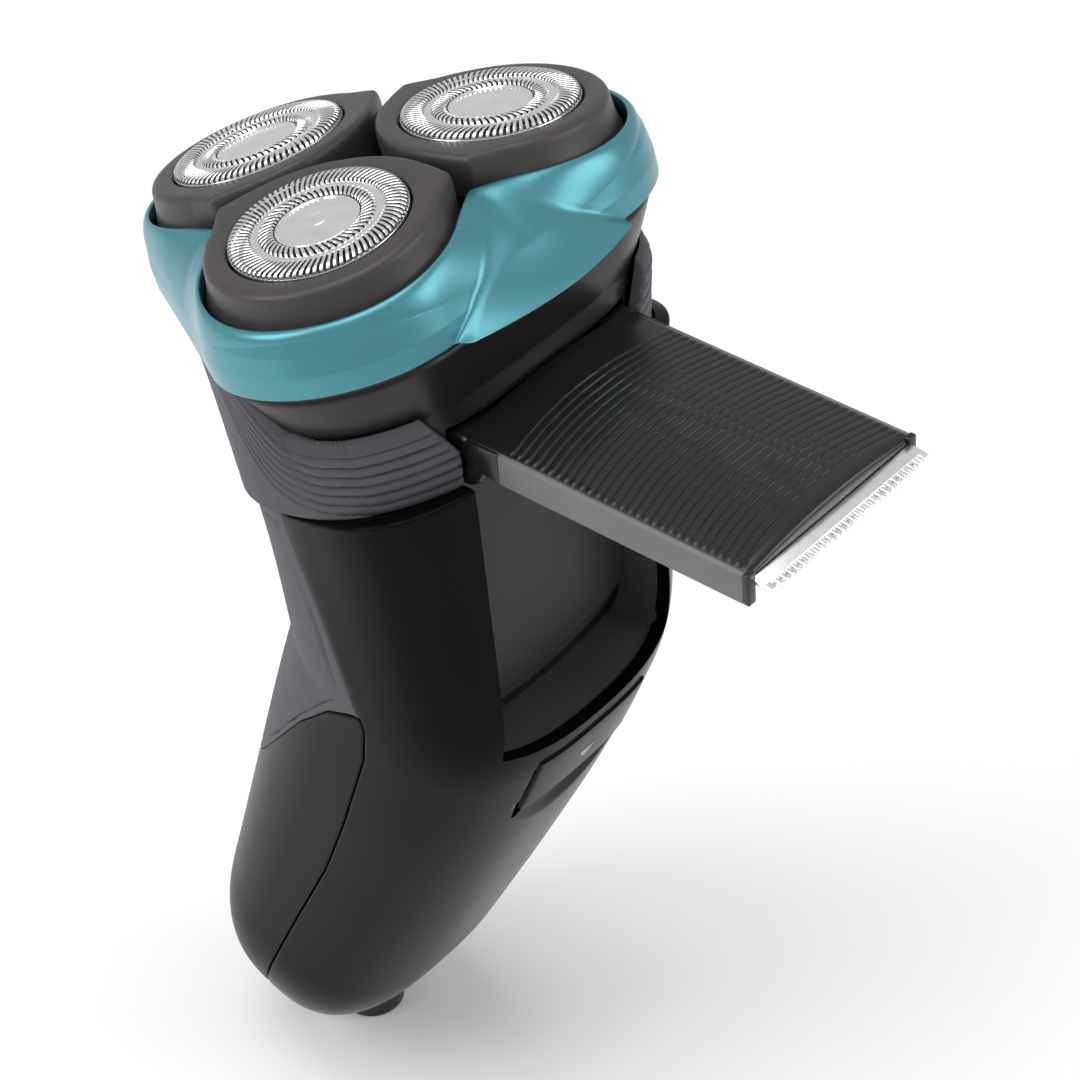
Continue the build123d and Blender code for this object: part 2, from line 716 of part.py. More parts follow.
# ----------------------------------------------------------------------------
# Trimmer, shown folded out
# ----------------------------------------------------------------------------
def make_trimmer_frame():
    """Side walls, end wall and hinge knuckles of the trimmer."""
    half = TRIMMER_HALF
    end = TRIMMER_END - 1.6
    hinge_round = Pos(0, HINGE_Y, HINGE_Z) * Rot(0, 90, 0) * Cylinder(HINGE_REACH, 2 * half)
    block = box(-half, half, HINGE_Y, end, TRIMMER_LOW, TRIMMER_TOP - 0.6)
    body = hinge_round + block
    body -= box(-half + 1.4, half - 1.4, HINGE_Y + 3.2, end - 1.4, TRIMMER_LOW - 5, TRIMMER_TOP - 1.4)
    body -= box(-half - 1, half + 1, HINGE_Y - 9, HINGE_Y + 9, HINGE_Z - 9, HINGE_Z - HINGE_FLAT)
    for sign in (1, -1):
        x = sign * 9.0
        body -= box(x - 2.0, x + 2.0, HINGE_Y - 5, HINGE_Y + 3.2, HINGE_Z - 5, HINGE_Z + 5)
    body -= Pos(0, HINGE_Y, HINGE_Z) * Rot(0, 90, 0) * Cylinder(HINGE_PIN_R + RUNNING, 26.6)
    return body


def make_trimmer_cover():
    """Crowned top plate of the trimmer with cross ribs."""
    half = TRIMMER_HALF
    start = HINGE_Y + 3.6
    end = TRIMMER_END - 1.6
    crown = 1.5
    radius = (half ** 2 + crown ** 2) / (2 * crown)
    low = TRIMMER_TOP - 0.6
    top = Pos(0, (start + end) / 2, low + 0.3 + crown - radius) * Rot(90, 0, 0) * Cylinder(radius, end - start)
    body = top & box(-half, half, start, end, low, low + 5)
    count = 12
    for i in range(count):
        y = start + 2.0 + i * (end - start - 5.0) / (count - 1)
        groove = Pos(0, y, low + 0.3 + crown - radius) * Rot(90, 0, 0)
        ring = Cylinder(radius + 1, 0.4) - Cylinder(radius - 0.35, 0.4)
        body -= groove * ring
    return body


def comb_teeth(low, high, start, length, pitch, width):
    teeth = None
    count = int(2 * (TRIMMER_HALF - 1.8) / pitch)
    for i in range(count + 1):
        x = (i - count / 2) * pitch
        tooth = box(x - width / 2, x + width / 2, start, start + length, low, high)
        teeth = tooth if teeth is None else teeth + tooth
    return teeth


def make_comb():
    """Fixed comb at the end of the trimmer."""
    start = TRIMMER_END - 1.6
    half = TRIMMER_HALF - 1.0
    low, high = TRIMMER_TOP - 2.1, TRIMMER_TOP - 1.3
    body = box(-half, half, start, start + 1.4, low, high)
    body += comb_teeth(low, high, start + 1.3, 1.9, 1.5, 0.75)
    return body


def make_trimmer_cutter():
    """Moving blade under the comb."""
    start = TRIMMER_END - 1.4
    half = TRIMMER_HALF - 2.6
    high = TRIMMER_TOP - 2.3
    body = box(-half, half, start, start + 1.0, high - 0.6, high)
    body += comb_teeth(high - 0.6, high, start + 0.9, 1.9, 1.5, 0.6) & box(-half, half, 0, 200, 0, 200)
    return body


def write(name, shape):
    solids = shape.solids()
    whole = solids[0] if len(solids) == 1 else Compound(children=list(solids))
    export_step(whole, "parts/" + name + ".step")
    print(name, len(solids), round(whole.volume, 1))


def main():
    os.makedirs("parts", exist_ok=True)
    outer = handle_solid(0.0)
    inner = handle_solid(WALL)
    grip_core = handle_solid(RUBBER)
    neck = neck_solid(0.0, 0.0, NECK_TOP, COLLAR_LOW)
    boss_hole = disc(BOSS_R, 0, 12.0)

    skin = (outer & below_collar()) - inner
    write("back_shell", make_back_shell(skin, boss_hole))
    write("front_shell", make_front_shell(skin, grip_core, boss_hole))
    write("side_grip", make_side_grip(skin, grip_core))
    write("front_panel", make_front_panel(skin))
    write("indicator_lens", make_indicator(skin))
    write("grip_collar", make_grip_collar())
    write("neck_cup", make_neck_cup())
    write("trimmer_bay", make_trimmer_bay(outer, neck))
    write("charge_boss", make_boss())
    write("charge_contacts", make_contacts())
    write("battery_cell", make_cell())
    write("cell_cradle", make_cell_cradle())
    write("circuit_board", make_board())
    write("tact_switch", make_switch())
    write("power_button", make_button())
    write("trimmer_release", make_slider())

    write("gear_deck", make_gear_deck())
    write("gear_case", make_gear_case())
    write("motor_can", make_motor_can())
    write("motor_cap", make_motor_cap())
    write("rotor_shaft", make_rotor_shaft())
    write("motor_pinion", make_pinion())

    write("head_ring", make_head_ring())
    write("head_frame", make_head_frame())
    pod = make_pod()
    foil = make_foil()
    cap = make_foil_cap()
    cutter = make_cutter()
    for number, angle in enumerate(FOIL_ANGLES, start=1):
        place = pod_place(angle)
        write("drive_gear_%d" % number, make_drive_gear(angle))
        write("cutter_pod_%d" % number, place * pod)
        write("foil_%d" % number, place * foil)
        write("foil_cap_%d" % number, place * cap)
        write("cutter_%d" % number, place * cutter)

    write("hinge_pin", make_hinge_pin())
    write("trimmer_frame", make_trimmer_frame())
    write("trimmer_cover", make_trimmer_cover())
    write("trimmer_comb", make_comb())
    write("trimmer_cutter", make_trimmer_cutter())


main()
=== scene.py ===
import json
import math

import bmesh
import bpy
import numpy as np
from mathutils import Matrix, Vector

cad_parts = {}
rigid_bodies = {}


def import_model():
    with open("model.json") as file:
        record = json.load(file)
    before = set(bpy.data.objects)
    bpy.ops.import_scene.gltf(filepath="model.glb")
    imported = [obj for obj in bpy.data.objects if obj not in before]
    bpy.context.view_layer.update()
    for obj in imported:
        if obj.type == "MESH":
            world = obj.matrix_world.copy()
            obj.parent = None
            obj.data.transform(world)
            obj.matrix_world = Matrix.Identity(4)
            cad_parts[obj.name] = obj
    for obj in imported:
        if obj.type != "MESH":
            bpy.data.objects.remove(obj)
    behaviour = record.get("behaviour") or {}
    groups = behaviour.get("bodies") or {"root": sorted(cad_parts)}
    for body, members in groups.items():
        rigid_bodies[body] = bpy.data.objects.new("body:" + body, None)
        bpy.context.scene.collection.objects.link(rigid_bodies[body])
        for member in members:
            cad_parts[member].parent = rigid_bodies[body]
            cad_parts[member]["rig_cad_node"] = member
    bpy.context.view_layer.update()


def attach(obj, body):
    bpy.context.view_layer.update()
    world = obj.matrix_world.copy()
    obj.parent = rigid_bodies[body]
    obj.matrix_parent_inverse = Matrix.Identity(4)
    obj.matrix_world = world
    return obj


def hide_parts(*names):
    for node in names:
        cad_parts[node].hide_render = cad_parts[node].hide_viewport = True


# Rotary shaver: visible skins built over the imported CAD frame.
# Shapes are worked out in mm in the part's frame and written to Blender in metres.

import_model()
MM = 0.001

# --- driving dimensions, as in the part ---------------------------------------
HEAD_CENTRE = np.array([0.0, 17.5, 169.5])
HEAD_TILT = math.radians(15.5)
FOIL_ORBIT = 18.98
FOIL_ANGLES = (30.0, 150.0, 270.0)
POD_LEAN = math.radians(6.92)
FOIL_R = 11.9
POD_R = 15.5
NECK_TOP, COLLAR_TOP, COLLAR_LOW, CUP_LOW = -15.6, -24.6, -36.0, -30.5
NECK_R = 17.9
SPINE_TOP = (32.56, 145.5)
BEND_AT, BEND_HALF, BEND_TILT = 46.3, 5.0, math.radians(24.1)
HANDLE_LENGTH, DOME_LENGTH, DOME_POWER = 145.8, 26.0, 2.4
SIZES_AT = np.array([-12.0, 0.0, 22.0, 45.0, 68.0, 92.0, 116.0, 146.0])
HALF_WIDTHS = np.array([34.6, 32.5, 28.7, 26.3, 24.6, 23.0, 21.9, 21.5])
FRONT_DEPTHS = np.array([25.8, 25.1, 23.9, 23.4, 22.4, 20.7, 18.7, 16.2])
BACK_DEPTHS = np.array([18.2, 19.2, 20.8, 22.3, 22.4, 21.2, 19.4, 16.7])
FRONT_POWER, BACK_POWER = 2.3, 2.9
HINGE_Y, HINGE_Z = 48.0, 144.5
TRIMMER_HALF, TRIMMER_TOP, TRIMMER_LOW, TRIMMER_END = 17.0, 148.55, 143.5, 95.25
BAY_HALF, BAY_FLOOR, BAY_LOW, BAY_DIP = 17.6, 44.0, 94.4, 2.4
SLIDER_AT, SLIDER_HALF, SLIDER_HALF_HEIGHT, SLIDER_TRAVEL = 54.0, 11.4, 5.6, 2.0


# --- Frames ---
def from_head(points):
    """Head frame (z along the head's normal) to the part's frame."""
    p = np.asarray(points, float)
    c, s = math.cos(HEAD_TILT), math.sin(HEAD_TILT)
    x, y, z = p[..., 0], p[..., 1], p[..., 2]
    return np.stack([x, y * c - z * s, y * s + z * c], -1) + HEAD_CENTRE


def to_head(points):
    p = np.asarray(points, float) - HEAD_CENTRE
    c, s = math.cos(HEAD_TILT), math.sin(HEAD_TILT)
    x, y, z = p[..., 0], p[..., 1], p[..., 2]
    return np.stack([x, y * c + z * s, -y * s + z * c], -1)


def from_pod(points, angle):
    """Frame of one cutting unit to the part's frame."""
    p = np.asarray(points, float)
    c, s = math.cos(POD_LEAN), math.sin(POD_LEAN)
    x = p[..., 0] * c + p[..., 2] * s + FOIL_ORBIT
    z = -p[..., 0] * s + p[..., 2] * c
    y = p[..., 1]
    a = math.radians(angle)
    return from_head(np.stack([x * math.cos(a) - y * math.sin(a), x * math.sin(a) + y * math.cos(a), z], -1))


# --- Mesh building ---
def add_mesh(name, verts, faces, smooth_angle=35.0):
    mesh = bpy.data.meshes.new(name)
    mesh.from_pydata([tuple(v) for v in np.asarray(verts, float) * MM], [], faces)
    mesh.validate()
    mesh.polygons.foreach_set("use_smooth", [True] * len(mesh.polygons))
    obj = bpy.data.objects.new(name, mesh)
    bpy.context.scene.collection.objects.link(obj)
    mark_sharp(obj, smooth_angle)
    return obj


def mark_sharp(obj, degrees):
    obj.data.set_sharp_from_angle(angle=math.radians(degrees))


def fix_normals(obj):
    """Merge doubled points and turn every face outwards."""
    bm = bmesh.new()
    bm.from_mesh(obj.data)
    bmesh.ops.remove_doubles(bm, verts=bm.verts, dist=1e-7)
    bmesh.ops.recalc_face_normals(bm, faces=bm.faces)
    if bm.calc_volume(signed=True) < 0:
        bmesh.ops.reverse_faces(bm, faces=bm.faces)
    bm.to_mesh(obj.data)
    bm.free()


def add_closed(name, verts, faces, smooth_angle=35.0):
    """A closed mesh with merged doubles, outward faces and sharp edges past an angle."""
    obj = add_mesh(name, verts, faces, smooth_angle)
    fix_normals(obj)
    mark_sharp(obj, smooth_angle)
    return obj


def polar(radius, angle, z):
    """Points at a distance and direction round the z axis."""
    return np.stack(np.broadcast_arrays(radius * np.cos(angle), radius * np.sin(angle), z), -1)


def smoothed(values, width):
    """A closed run of values averaged over a soft window of odd width."""
    window = np.hanning(width)
    window /= window.sum()
    half = width // 2
    return np.convolve(np.concatenate([values[-half:], values, values[:half]]), window, mode="valid")


def ring_faces(rows, cols):
    """Faces of a ring of profiles, the last profile point joined to the first."""
    last = (rows - 1) * cols
    closing = [(last + j, last + (j + 1) % cols, (j + 1) % cols, j) for j in range(cols)]
    return grid_faces(rows, cols, True) + closing


def grid_faces(rows, cols, wrap_cols, start=0, flip=False):
    faces = []
    last = cols if wrap_cols else cols - 1
    for i in range(rows - 1):
        for j in range(last):
            k = (j + 1) % cols
            a, b = start + i * cols, start + (i + 1) * cols
            quad = [a + j, a + k, b + k, b + j]
            faces.append(tuple(reversed(quad)) if flip else tuple(quad))
    return faces


def grid_normals(points):
    """Unit normals of an open grid of points (rows, cols, 3)."""
    n = np.cross(np.gradient(points, axis=1), np.gradient(points, axis=0))
    length = np.linalg.norm(n, axis=-1, keepdims=True)
    return n / np.maximum(length, 1e-9)


def shell(name, outer, inner, wrap_cols, smooth_angle=35.0):
    """Closed skin between an outer and an inner grid of the same size."""
    rows, cols = outer.shape[:2]
    count = rows * cols
    verts = np.concatenate([outer.reshape(-1, 3), inner.reshape(-1, 3)])
    faces = grid_faces(rows, cols, wrap_cols)
    faces += grid_faces(rows, cols, wrap_cols, start=count, flip=True)
    last = cols if wrap_cols else cols - 1
    for j in range(last):
        k = (j + 1) % cols
        faces.append((k, j, count + j, count + k))
        a, b = (rows - 1) * cols + j, (rows - 1) * cols + k
        faces.append((a, b, count + b, count + a))
    if not wrap_cols:
        for i in range(rows - 1):
            a, b = i * cols, (i + 1) * cols
            faces.append((a, b, count + b, count + a))
            a, b = i * cols + cols - 1, (i + 1) * cols + cols - 1
            faces.append((b, a, count + a, count + b))
    return add_closed(name, verts, faces, smooth_angle)


def edge_distance(points):
    """Distance of each grid point from the grid's open edges, along the grid lines."""
    step = np.linalg.norm(np.diff(points, axis=0), axis=-1)
    down = np.concatenate([np.zeros((1, points.shape[1])), np.cumsum(step, 0)])
    step = np.linalg.norm(np.diff(points, axis=1), axis=-1)
    across = np.concatenate([np.zeros((points.shape[0], 1)), np.cumsum(step, 1)], 1)
    return np.minimum(np.minimum(down, down[-1] - down), np.minimum(across, across[:, -1:] - across))


def rounded_skin(name, points, thickness, round_r=0.5, relief=None, middle=None):
    """A skin from an open grid that faces away from middle: edges rolled over, optional relief."""
    normal = grid_normals(points)
    if middle is None:
        middle = points.reshape(-1, 3).mean(0)
    normal = normal * np.sign((normal * (points - middle)).sum())
    dist = np.clip(edge_distance(points) / round_r, 0, 1)
    drop = round_r * (1 - np.sqrt(1 - (1 - dist) ** 2))
    height = -drop if relief is None else relief - drop
    outer = points + normal * height[..., None]
    inner = points - normal * thickness
    return shell(name, outer, inner, False)


def turned(profile, segments):
    """A profile of (radius, z) points swept round the z axis."""
    prof = np.asarray(profile, float)
    return polar(prof[:, None, 0], 2 * math.pi * np.arange(segments) / segments, prof[:, 1:2])


def revolve_ring(name, profile, place, segments=168):
    """Closed ring of revolution from a closed profile."""
    points = place(turned(profile, segments))
    return add_closed(name, points.reshape(-1, 3), ring_faces(len(profile), segments))


def revolve_disc(name, profile, place, segments=120):
    """Solid of revolution whose profile starts and ends on the axis."""
    points = turned(profile[1:-1], segments)
    rows = len(points)
    ends = np.array([[0, 0, profile[0][1]], [0, 0, profile[-1][1]]])
    faces = grid_faces(rows, segments, True)
    for j in range(segments):
        k = (j + 1) % segments
        faces.append((rows * segments, j, k))
        faces.append((rows * segments + 1, (rows - 1) * segments + k, (rows - 1) * segments + j))
    return add_closed(name, place(np.concatenate([points.reshape(-1, 3), ends])), faces, 25)


def mirrored(x0, x1, *rest):
    """A box and its mirror image across the middle plane."""
    return [(x0, x1, *rest), (-x1, -x0, *rest)]


def boxes_mesh(name, boxes, place=None, bevel=0.0):
    """One object of several boxes (x0, x1, y0, y1, z0, z1), edges bevelled."""
    verts, faces = [], []
    for x0, x1, y0, y1, z0, z1 in boxes:
        n = len(verts)
        verts += [(x, y, z) for z in (z0, z1) for y in (y0, y1) for x in (x0, x1)]
        faces += [tuple(n + i for i in q) for q in
                  ((0, 2, 3, 1), (4, 5, 7, 6), (0, 1, 5, 4), (2, 6, 7, 3), (0, 4, 6, 2), (1, 3, 7, 5))]
    verts = np.array(verts, float)
    if place is not None:
        verts = place(verts)
    obj = add_mesh(name, verts, faces)
    if bevel:
        apply_bevel(obj, bevel)
    return obj


def apply_modifiers(obj):
    bpy.context.view_layer.update()
    deps = bpy.context.evaluated_depsgraph_get()
    mesh = bpy.data.meshes.new_from_object(obj.evaluated_get(deps))
    old = obj.data
    obj.modifiers.clear()
    obj.data = mesh
    mesh.name = obj.name
    bpy.data.meshes.remove(old)


def apply_bevel(obj, width_mm):
    mod = obj.modifiers.new("edges", "BEVEL")
    mod.width = width_mm * MM
    mod.segments = 3
    mod.limit_method = "ANGLE"
    mod.angle_limit = math.radians(35.0)
    mod.harden_normals = False
    apply_modifiers(obj)
    obj.data.polygons.foreach_set("use_smooth", [True] * len(obj.data.polygons))
    mark_sharp(obj, 40)


def boolean(obj, cutter, operation="DIFFERENCE", rolled=False):
    mod = obj.modifiers.new("cut", "BOOLEAN")
    mod.object = cutter
    mod.operation = operation
    mod.solver = "EXACT"
    mod.use_self = rolled
    apply_modifiers(obj)
    bpy.data.objects.remove(cutter)
    if len(obj.data.polygons) == 0:
        raise ValueError(obj.name + " vanished in a cut")
    mark_sharp(obj, 35)


def prism(name, outline, low, high):
    """Closed outline of x, z points pushed along y between two depths."""
    n = len(outline)
    verts = [(x, level, z) for level in (low, high) for x, z in outline]
    faces = [tuple(range(n)), tuple(reversed(range(n, 2 * n)))]
    for i in range(n):
        j = (i + 1) % n
        faces.append((i, j, n + j, n + i))
    obj = add_mesh(name, verts, faces)
    fix_normals(obj)
    return obj


# --- Materials ---
def shader(name, colour, rough, metal=0.0, coat=0.0, spec=0.5):
    mat = bpy.data.materials.new(name)
    mat.use_nodes = True
    nodes, links = mat.node_tree.nodes, mat.node_tree.links
    bsdf = nodes["Principled BSDF"]
    bsdf.inputs["Base Color"].default_value = (*colour, 1)
    bsdf.inputs["Roughness"].default_value = rough
    bsdf.inputs["Metallic"].default_value = metal
    bsdf.inputs["Coat Weight"].default_value = coat
    bsdf.inputs["Coat Roughness"].default_value = 0.08
    bsdf.inputs["Specular IOR Level"].default_value = spec
    coords = nodes.new("ShaderNodeTexCoord")
    return mat, nodes, links, bsdf, coords


def noise(nodes, links, coords, scale, detail=3.0):
    tex = nodes.new("ShaderNodeTexNoise")
    tex.inputs["Scale"].default_value = scale
    tex.inputs["Detail"].default_value = detail
    links.new(coords.outputs["Object"], tex.inputs["Vector"])
    return tex


def ramp(nodes, links, source, stops):
    node = nodes.new("ShaderNodeValToRGB")
    while len(node.color_ramp.elements) < len(stops):
        node.color_ramp.elements.new(0.5)
    for element, (at, colour) in zip(node.color_ramp.elements, stops):
        element.position = at
        element.color = (*colour, 1)
    links.new(source, node.inputs["Fac"])
    return node


def bump(nodes, links, bsdf, source, strength, distance_mm):
    node = nodes.new("ShaderNodeBump")
    node.inputs["Strength"].default_value = strength
    node.inputs["Distance"].default_value = distance_mm * MM
    links.new(source, node.inputs["Height"])
    links.new(node.outputs["Normal"], bsdf.inputs["Normal"])


def vary_rough(nodes, links, bsdf, tex, low, high):
    node = nodes.new("ShaderNodeMapRange")
    node.inputs["To Min"].default_value = low
    node.inputs["To Max"].default_value = high
    links.new(tex.outputs["Fac"], node.inputs["Value"])
    links.new(node.outputs["Result"], bsdf.inputs["Roughness"])


def vary_colour(nodes, links, bsdf, tex, colour, spread):
    low = tuple(c * (1 - spread) for c in colour)
    high = tuple(min(1.0, c * (1 + spread)) for c in colour)
    node = ramp(nodes, links, tex.outputs["Fac"], ((0.3, low), (0.7, high)))
    links.new(node.outputs["Color"], bsdf.inputs["Base Color"])


def plastic(name, colour, rough, grain_mm=0.0, coat=0.0, spread=0.06, grain_scale=5000.0, spec=0.5):
    """Moulded plastic: slight colour and gloss variation, optional spark-eroded grain."""
    mat, nodes, links, bsdf, coords = shader(name, colour, rough, 0.0, coat, spec)
    broad = noise(nodes, links, coords, 60.0, 4.0)
    vary_colour(nodes, links, bsdf, broad, colour, spread)
    vary_rough(nodes, links, bsdf, noise(nodes, links, coords, 220.0, 5.0), rough * 0.92, rough * 1.08)
    if grain_mm:
        fine = noise(nodes, links, coords, grain_scale, 2.0)
        bump(nodes, links, bsdf, fine.outputs["Fac"], 0.35, grain_mm)
    return mat


def rubber(name, colour):
    mat, nodes, links, bsdf, coords = shader(name, colour, 0.62, spec=0.45)
    fine = noise(nodes, links, coords, 4200.0, 3.0)
    vary_colour(nodes, links, bsdf, noise(nodes, links, coords, 90.0, 4.0), colour, 0.08)
    bump(nodes, links, bsdf, fine.outputs["Fac"], 0.45, 0.03)
    vary_rough(nodes, links, bsdf, noise(nodes, links, coords, 400.0, 3.0), 0.55, 0.68)
    return mat


def lacquer(name, colour):
    """Metallic teal lacquer with fine flake."""
    mat, nodes, links, bsdf, coords = shader(name, colour, 0.34, 0.7, 0.12)
    flake = nodes.new("ShaderNodeTexVoronoi")
    flake.inputs["Scale"].default_value = 9000.0
    links.new(coords.outputs["Object"], flake.inputs["Vector"])
    light = tuple(min(1.0, c * 1.12) for c in colour)
    node = ramp(nodes, links, flake.outputs["Distance"], ((0.1, light), (0.6, colour)))
    links.new(node.outputs["Color"], bsdf.inputs["Base Color"])
    bump(nodes, links, bsdf, flake.outputs["Distance"], 0.05, 0.01)
    vary_rough(nodes, links, bsdf, noise(nodes, links, coords, 150.0, 3.0), 0.31, 0.37)
    return mat


def steel(name, colour, rough, scale=2500.0):
    mat, nodes, links, bsdf, coords = shader(name, colour, rough, 1.0)
    tex = noise(nodes, links, coords, scale, 4.0)
    vary_rough(nodes, links, bsdf, tex, rough * 0.8, rough * 1.25)
    vary_colour(nodes, links, bsdf, noise(nodes, links, coords, 500.0, 3.0), colour, 0.05)
    bump(nodes, links, bsdf, tex.outputs["Fac"], 0.12, 0.01)
    return mat


def board_green(name):
    mat, nodes, links, bsdf, coords = shader(name, (0.02, 0.16, 0.07), 0.4)
    brick = nodes.new("ShaderNodeTexBrick")
    brick.inputs["Scale"].default_value = 180.0
    brick.inputs["Color1"].default_value = (0.015, 0.13, 0.055, 1)
    brick.inputs["Color2"].default_value = (0.03, 0.2, 0.09, 1)
    brick.inputs["Mortar"].default_value = (0.05, 0.26, 0.12, 1)
    brick.inputs["Mortar Size"].default_value = 0.03
    links.new(coords.outputs["Object"], brick.inputs["Vector"])
    links.new(brick.outputs["Color"], bsdf.inputs["Base Color"])
    return mat


MATS = {
    "gloss_black": plastic("gloss_black", (0.0022, 0.0022, 0.0023), 0.22, spread=0.1, spec=0.055),
    "satin_black": plastic("satin_black", (0.0028, 0.0028, 0.0029), 0.32, 0.003, spread=0.08, spec=0.07),
    "panel_black": plastic("panel_black", (0.004, 0.004, 0.0042), 0.12, spec=0.4),
    "rubber": rubber("rubber_grip", (0.050, 0.054, 0.064)),
    "charcoal": plastic("charcoal", (0.042, 0.037, 0.036), 0.40, 0.008, grain_scale=6000.0, spec=0.4),
    "cup": plastic("cup_charcoal", (0.012, 0.0098, 0.0092), 0.33, 0.006, spec=0.3),
    "teal": lacquer("teal_lacquer", (0.072, 0.26, 0.31)),
    "foil": steel("foil_steel", (0.86, 0.86, 0.87), 0.16),
    "cap": steel("cap_steel", (0.90, 0.90, 0.90), 0.10, 1500.0),
    # painted shade: a dark copy of the foil steel for the ring under the slats, standing in for the shade
    # seen through the slots
    "slot_painted_shade": steel("slot_painted_shade", (0.10, 0.10, 0.105), 0.35),
    "cutter": steel("cutter_steel", (0.45, 0.45, 0.47), 0.30),
    "bay": plastic("bay_grey", (0.034, 0.034, 0.035), 0.5, 0.008, spec=0.2),
    # painted light: a lighter copy of the bay grey for the bay's walls, standing in for light that does not
    # reach them
    "bay_wall_painted_light": plastic("bay_wall_painted_light_grey", (0.062, 0.062, 0.063), 0.5, 0.006, spec=0.25),
    # painted shade: a darker copy of the bay grey for the step at the bay's foot, standing in for the shadow
    # on the step
    "bay_step_painted_shade": plastic("bay_step_painted_shade_grey", (0.010, 0.010, 0.0105), 0.35, 0.005, spec=0.25),
    "side_grey": plastic("side_grey", (0.135, 0.135, 0.137), 0.5, 0.012),
    "cover": plastic("cover_black", (0.010, 0.010, 0.0103), 0.22, spec=0.42),
    "comb": steel("comb_steel", (0.88, 0.88, 0.88), 0.25),
    "pin": steel("pin_steel", (0.55, 0.55, 0.57), 0.3),
    "boss": plastic("boss_black", (0.012, 0.012, 0.013), 0.4, 0.01),
    "brass": steel("contact_brass", (0.78, 0.62, 0.30), 0.22),
    "lens": plastic("lens_smoke", (0.06, 0.09, 0.10), 0.08, coat=0.6),
    "cell": plastic("cell_wrap", (0.05, 0.13, 0.28), 0.25, 0.004, coat=0.2),
    "cradle": plastic("cradle_grey", (0.18, 0.18, 0.19), 0.55, 0.02),
    "board": board_green("board_green"),
    "dark": plastic("dark_plastic", (0.016, 0.016, 0.017), 0.45, 0.01),
    "nylon": plastic("gear_nylon", (0.78, 0.76, 0.70), 0.45, 0.01),
    "motor": steel("motor_steel", (0.42, 0.42, 0.44), 0.32),
    "mark": plastic("mark_grey", (0.30, 0.30, 0.31), 0.4, 0.005),
}


def finish_piece(obj, mat, body, node=None):
    obj.data.materials.clear()
    obj.data.materials.append(MATS[mat])
    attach(obj, body)
    if node is not None:
        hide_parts(node)
    return obj


def dress(node, mat):
    """Give a CAD node that stays visible its finish."""
    for obj in bpy.context.scene.objects:
        if obj.get("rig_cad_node") == node:
            obj.data.materials.clear()
            obj.data.materials.append(MATS[mat])


# --- Handle surface ---
def smooth_table(at, knots, values):
    """Piecewise cubic through the knots with centred slopes."""
    at = np.clip(np.asarray(at, float), knots[0], knots[-1])
    slopes = np.gradient(values, knots)
    i = np.clip(np.searchsorted(knots, at, side="right") - 1, 0, len(knots) - 2)
    h = knots[i + 1] - knots[i]
    t = (at - knots[i]) / h
    a = (1 + 2 * t) * (1 - t) ** 2 * values[i] + t * (1 - t) ** 2 * h * slopes[i]
    b = t * t * (3 - 2 * t) * values[i + 1] + t * t * (t - 1) * h * slopes[i + 1]
    return a + b


FINE = np.linspace(-12.0, HANDLE_LENGTH, 1600)
BEND_SHARE = np.clip((FINE - BEND_AT + BEND_HALF) / (2 * BEND_HALF), 0, 1)
FINE_LEAN = BEND_TILT * BEND_SHARE ** 2 * (3 - 2 * BEND_SHARE)
MID_LEAN, FINE_STEP = (FINE_LEAN[1:] + FINE_LEAN[:-1]) / 2, np.diff(FINE)
FINE_Y = np.concatenate([[0], np.cumsum(-np.sin(MID_LEAN) * FINE_STEP)]) + SPINE_TOP[0]
FINE_Z = np.concatenate([[0], np.cumsum(-np.cos(MID_LEAN) * FINE_STEP)])
FINE_Z += SPINE_TOP[1] + 12.0
BEND_REACH = 16.0
BEND_FRONT_DEPTH = 23.6


def clear_of_fold(at, turn):
    """Stations of the front face, drawn away from the bend so that the face does not fold there."""
    sine = np.sin(turn)
    share = np.abs(sine) ** (2 / FRONT_POWER)
    fold = np.where(sine < 0, share * BEND_FRONT_DEPTH * math.tan(BEND_TILT / 2), 0.0)
    away = at - BEND_AT
    past = np.abs(away) * (BEND_REACH - fold) / BEND_REACH
    near = (np.abs(away) < BEND_REACH) & (sine < 0)
    return np.where(near, BEND_AT + np.where(away < 0, -1.0, 1.0) * (fold + past), at)


def handle_point(at, turn, grow=0.0):
    """Point of the handle's surface; turn is 0 at +X and a quarter turn at the back."""
    at, turn = np.broadcast_arrays(np.asarray(at, float), np.asarray(turn, float))
    at = clear_of_fold(at, turn)
    y, z = np.interp(at, FINE, FINE_Y), np.interp(at, FINE, FINE_Z)
    lean = np.interp(at, FINE, FINE_LEAN)
    share = np.clip((at - HANDLE_LENGTH + DOME_LENGTH) / DOME_LENGTH, 0, 1)
    dome = (1 - share ** DOME_POWER) ** (1 / DOME_POWER)
    half = smooth_table(at, SIZES_AT, HALF_WIDTHS) * dome + grow
    front = smooth_table(at, SIZES_AT, FRONT_DEPTHS) * dome + grow
    back = smooth_table(at, SIZES_AT, BACK_DEPTHS) * dome + grow
    c, s = np.cos(turn), np.sin(turn)
    power = np.where(s > 0, BACK_POWER, FRONT_POWER)
    across = np.sign(c) * np.abs(c) ** (2 / power)
    along = np.sign(s) * np.abs(s) ** (2 / power)
    depth = along * np.where(s > 0, back, front)
    return np.stack([half * across, y + depth * np.cos(lean), z - depth * np.sin(lean)], -1)


SEAM_Z = np.array([6.0, 21.3, 43.8, 58.8, 72.5, 90.1, 96.5, 105.5, 117.7, 126.5, 134.8, 150.0])
SEAM_Y = np.array([-9.0, -1.2, 10.6, 18.8, 25.1, 32.4, 33.8, 31.9, 30.2, 28.7, 28.2, 27.6])
GRIP_Y = np.array([-40.0, -4.0, 4.5, 18.9, 26.5, 30.6, 32.6, 36.0])
GRIP_Z = np.array([60.0, 62.5, 71.6, 88.7, 95.9, 97.9, 98.6, 98.0])


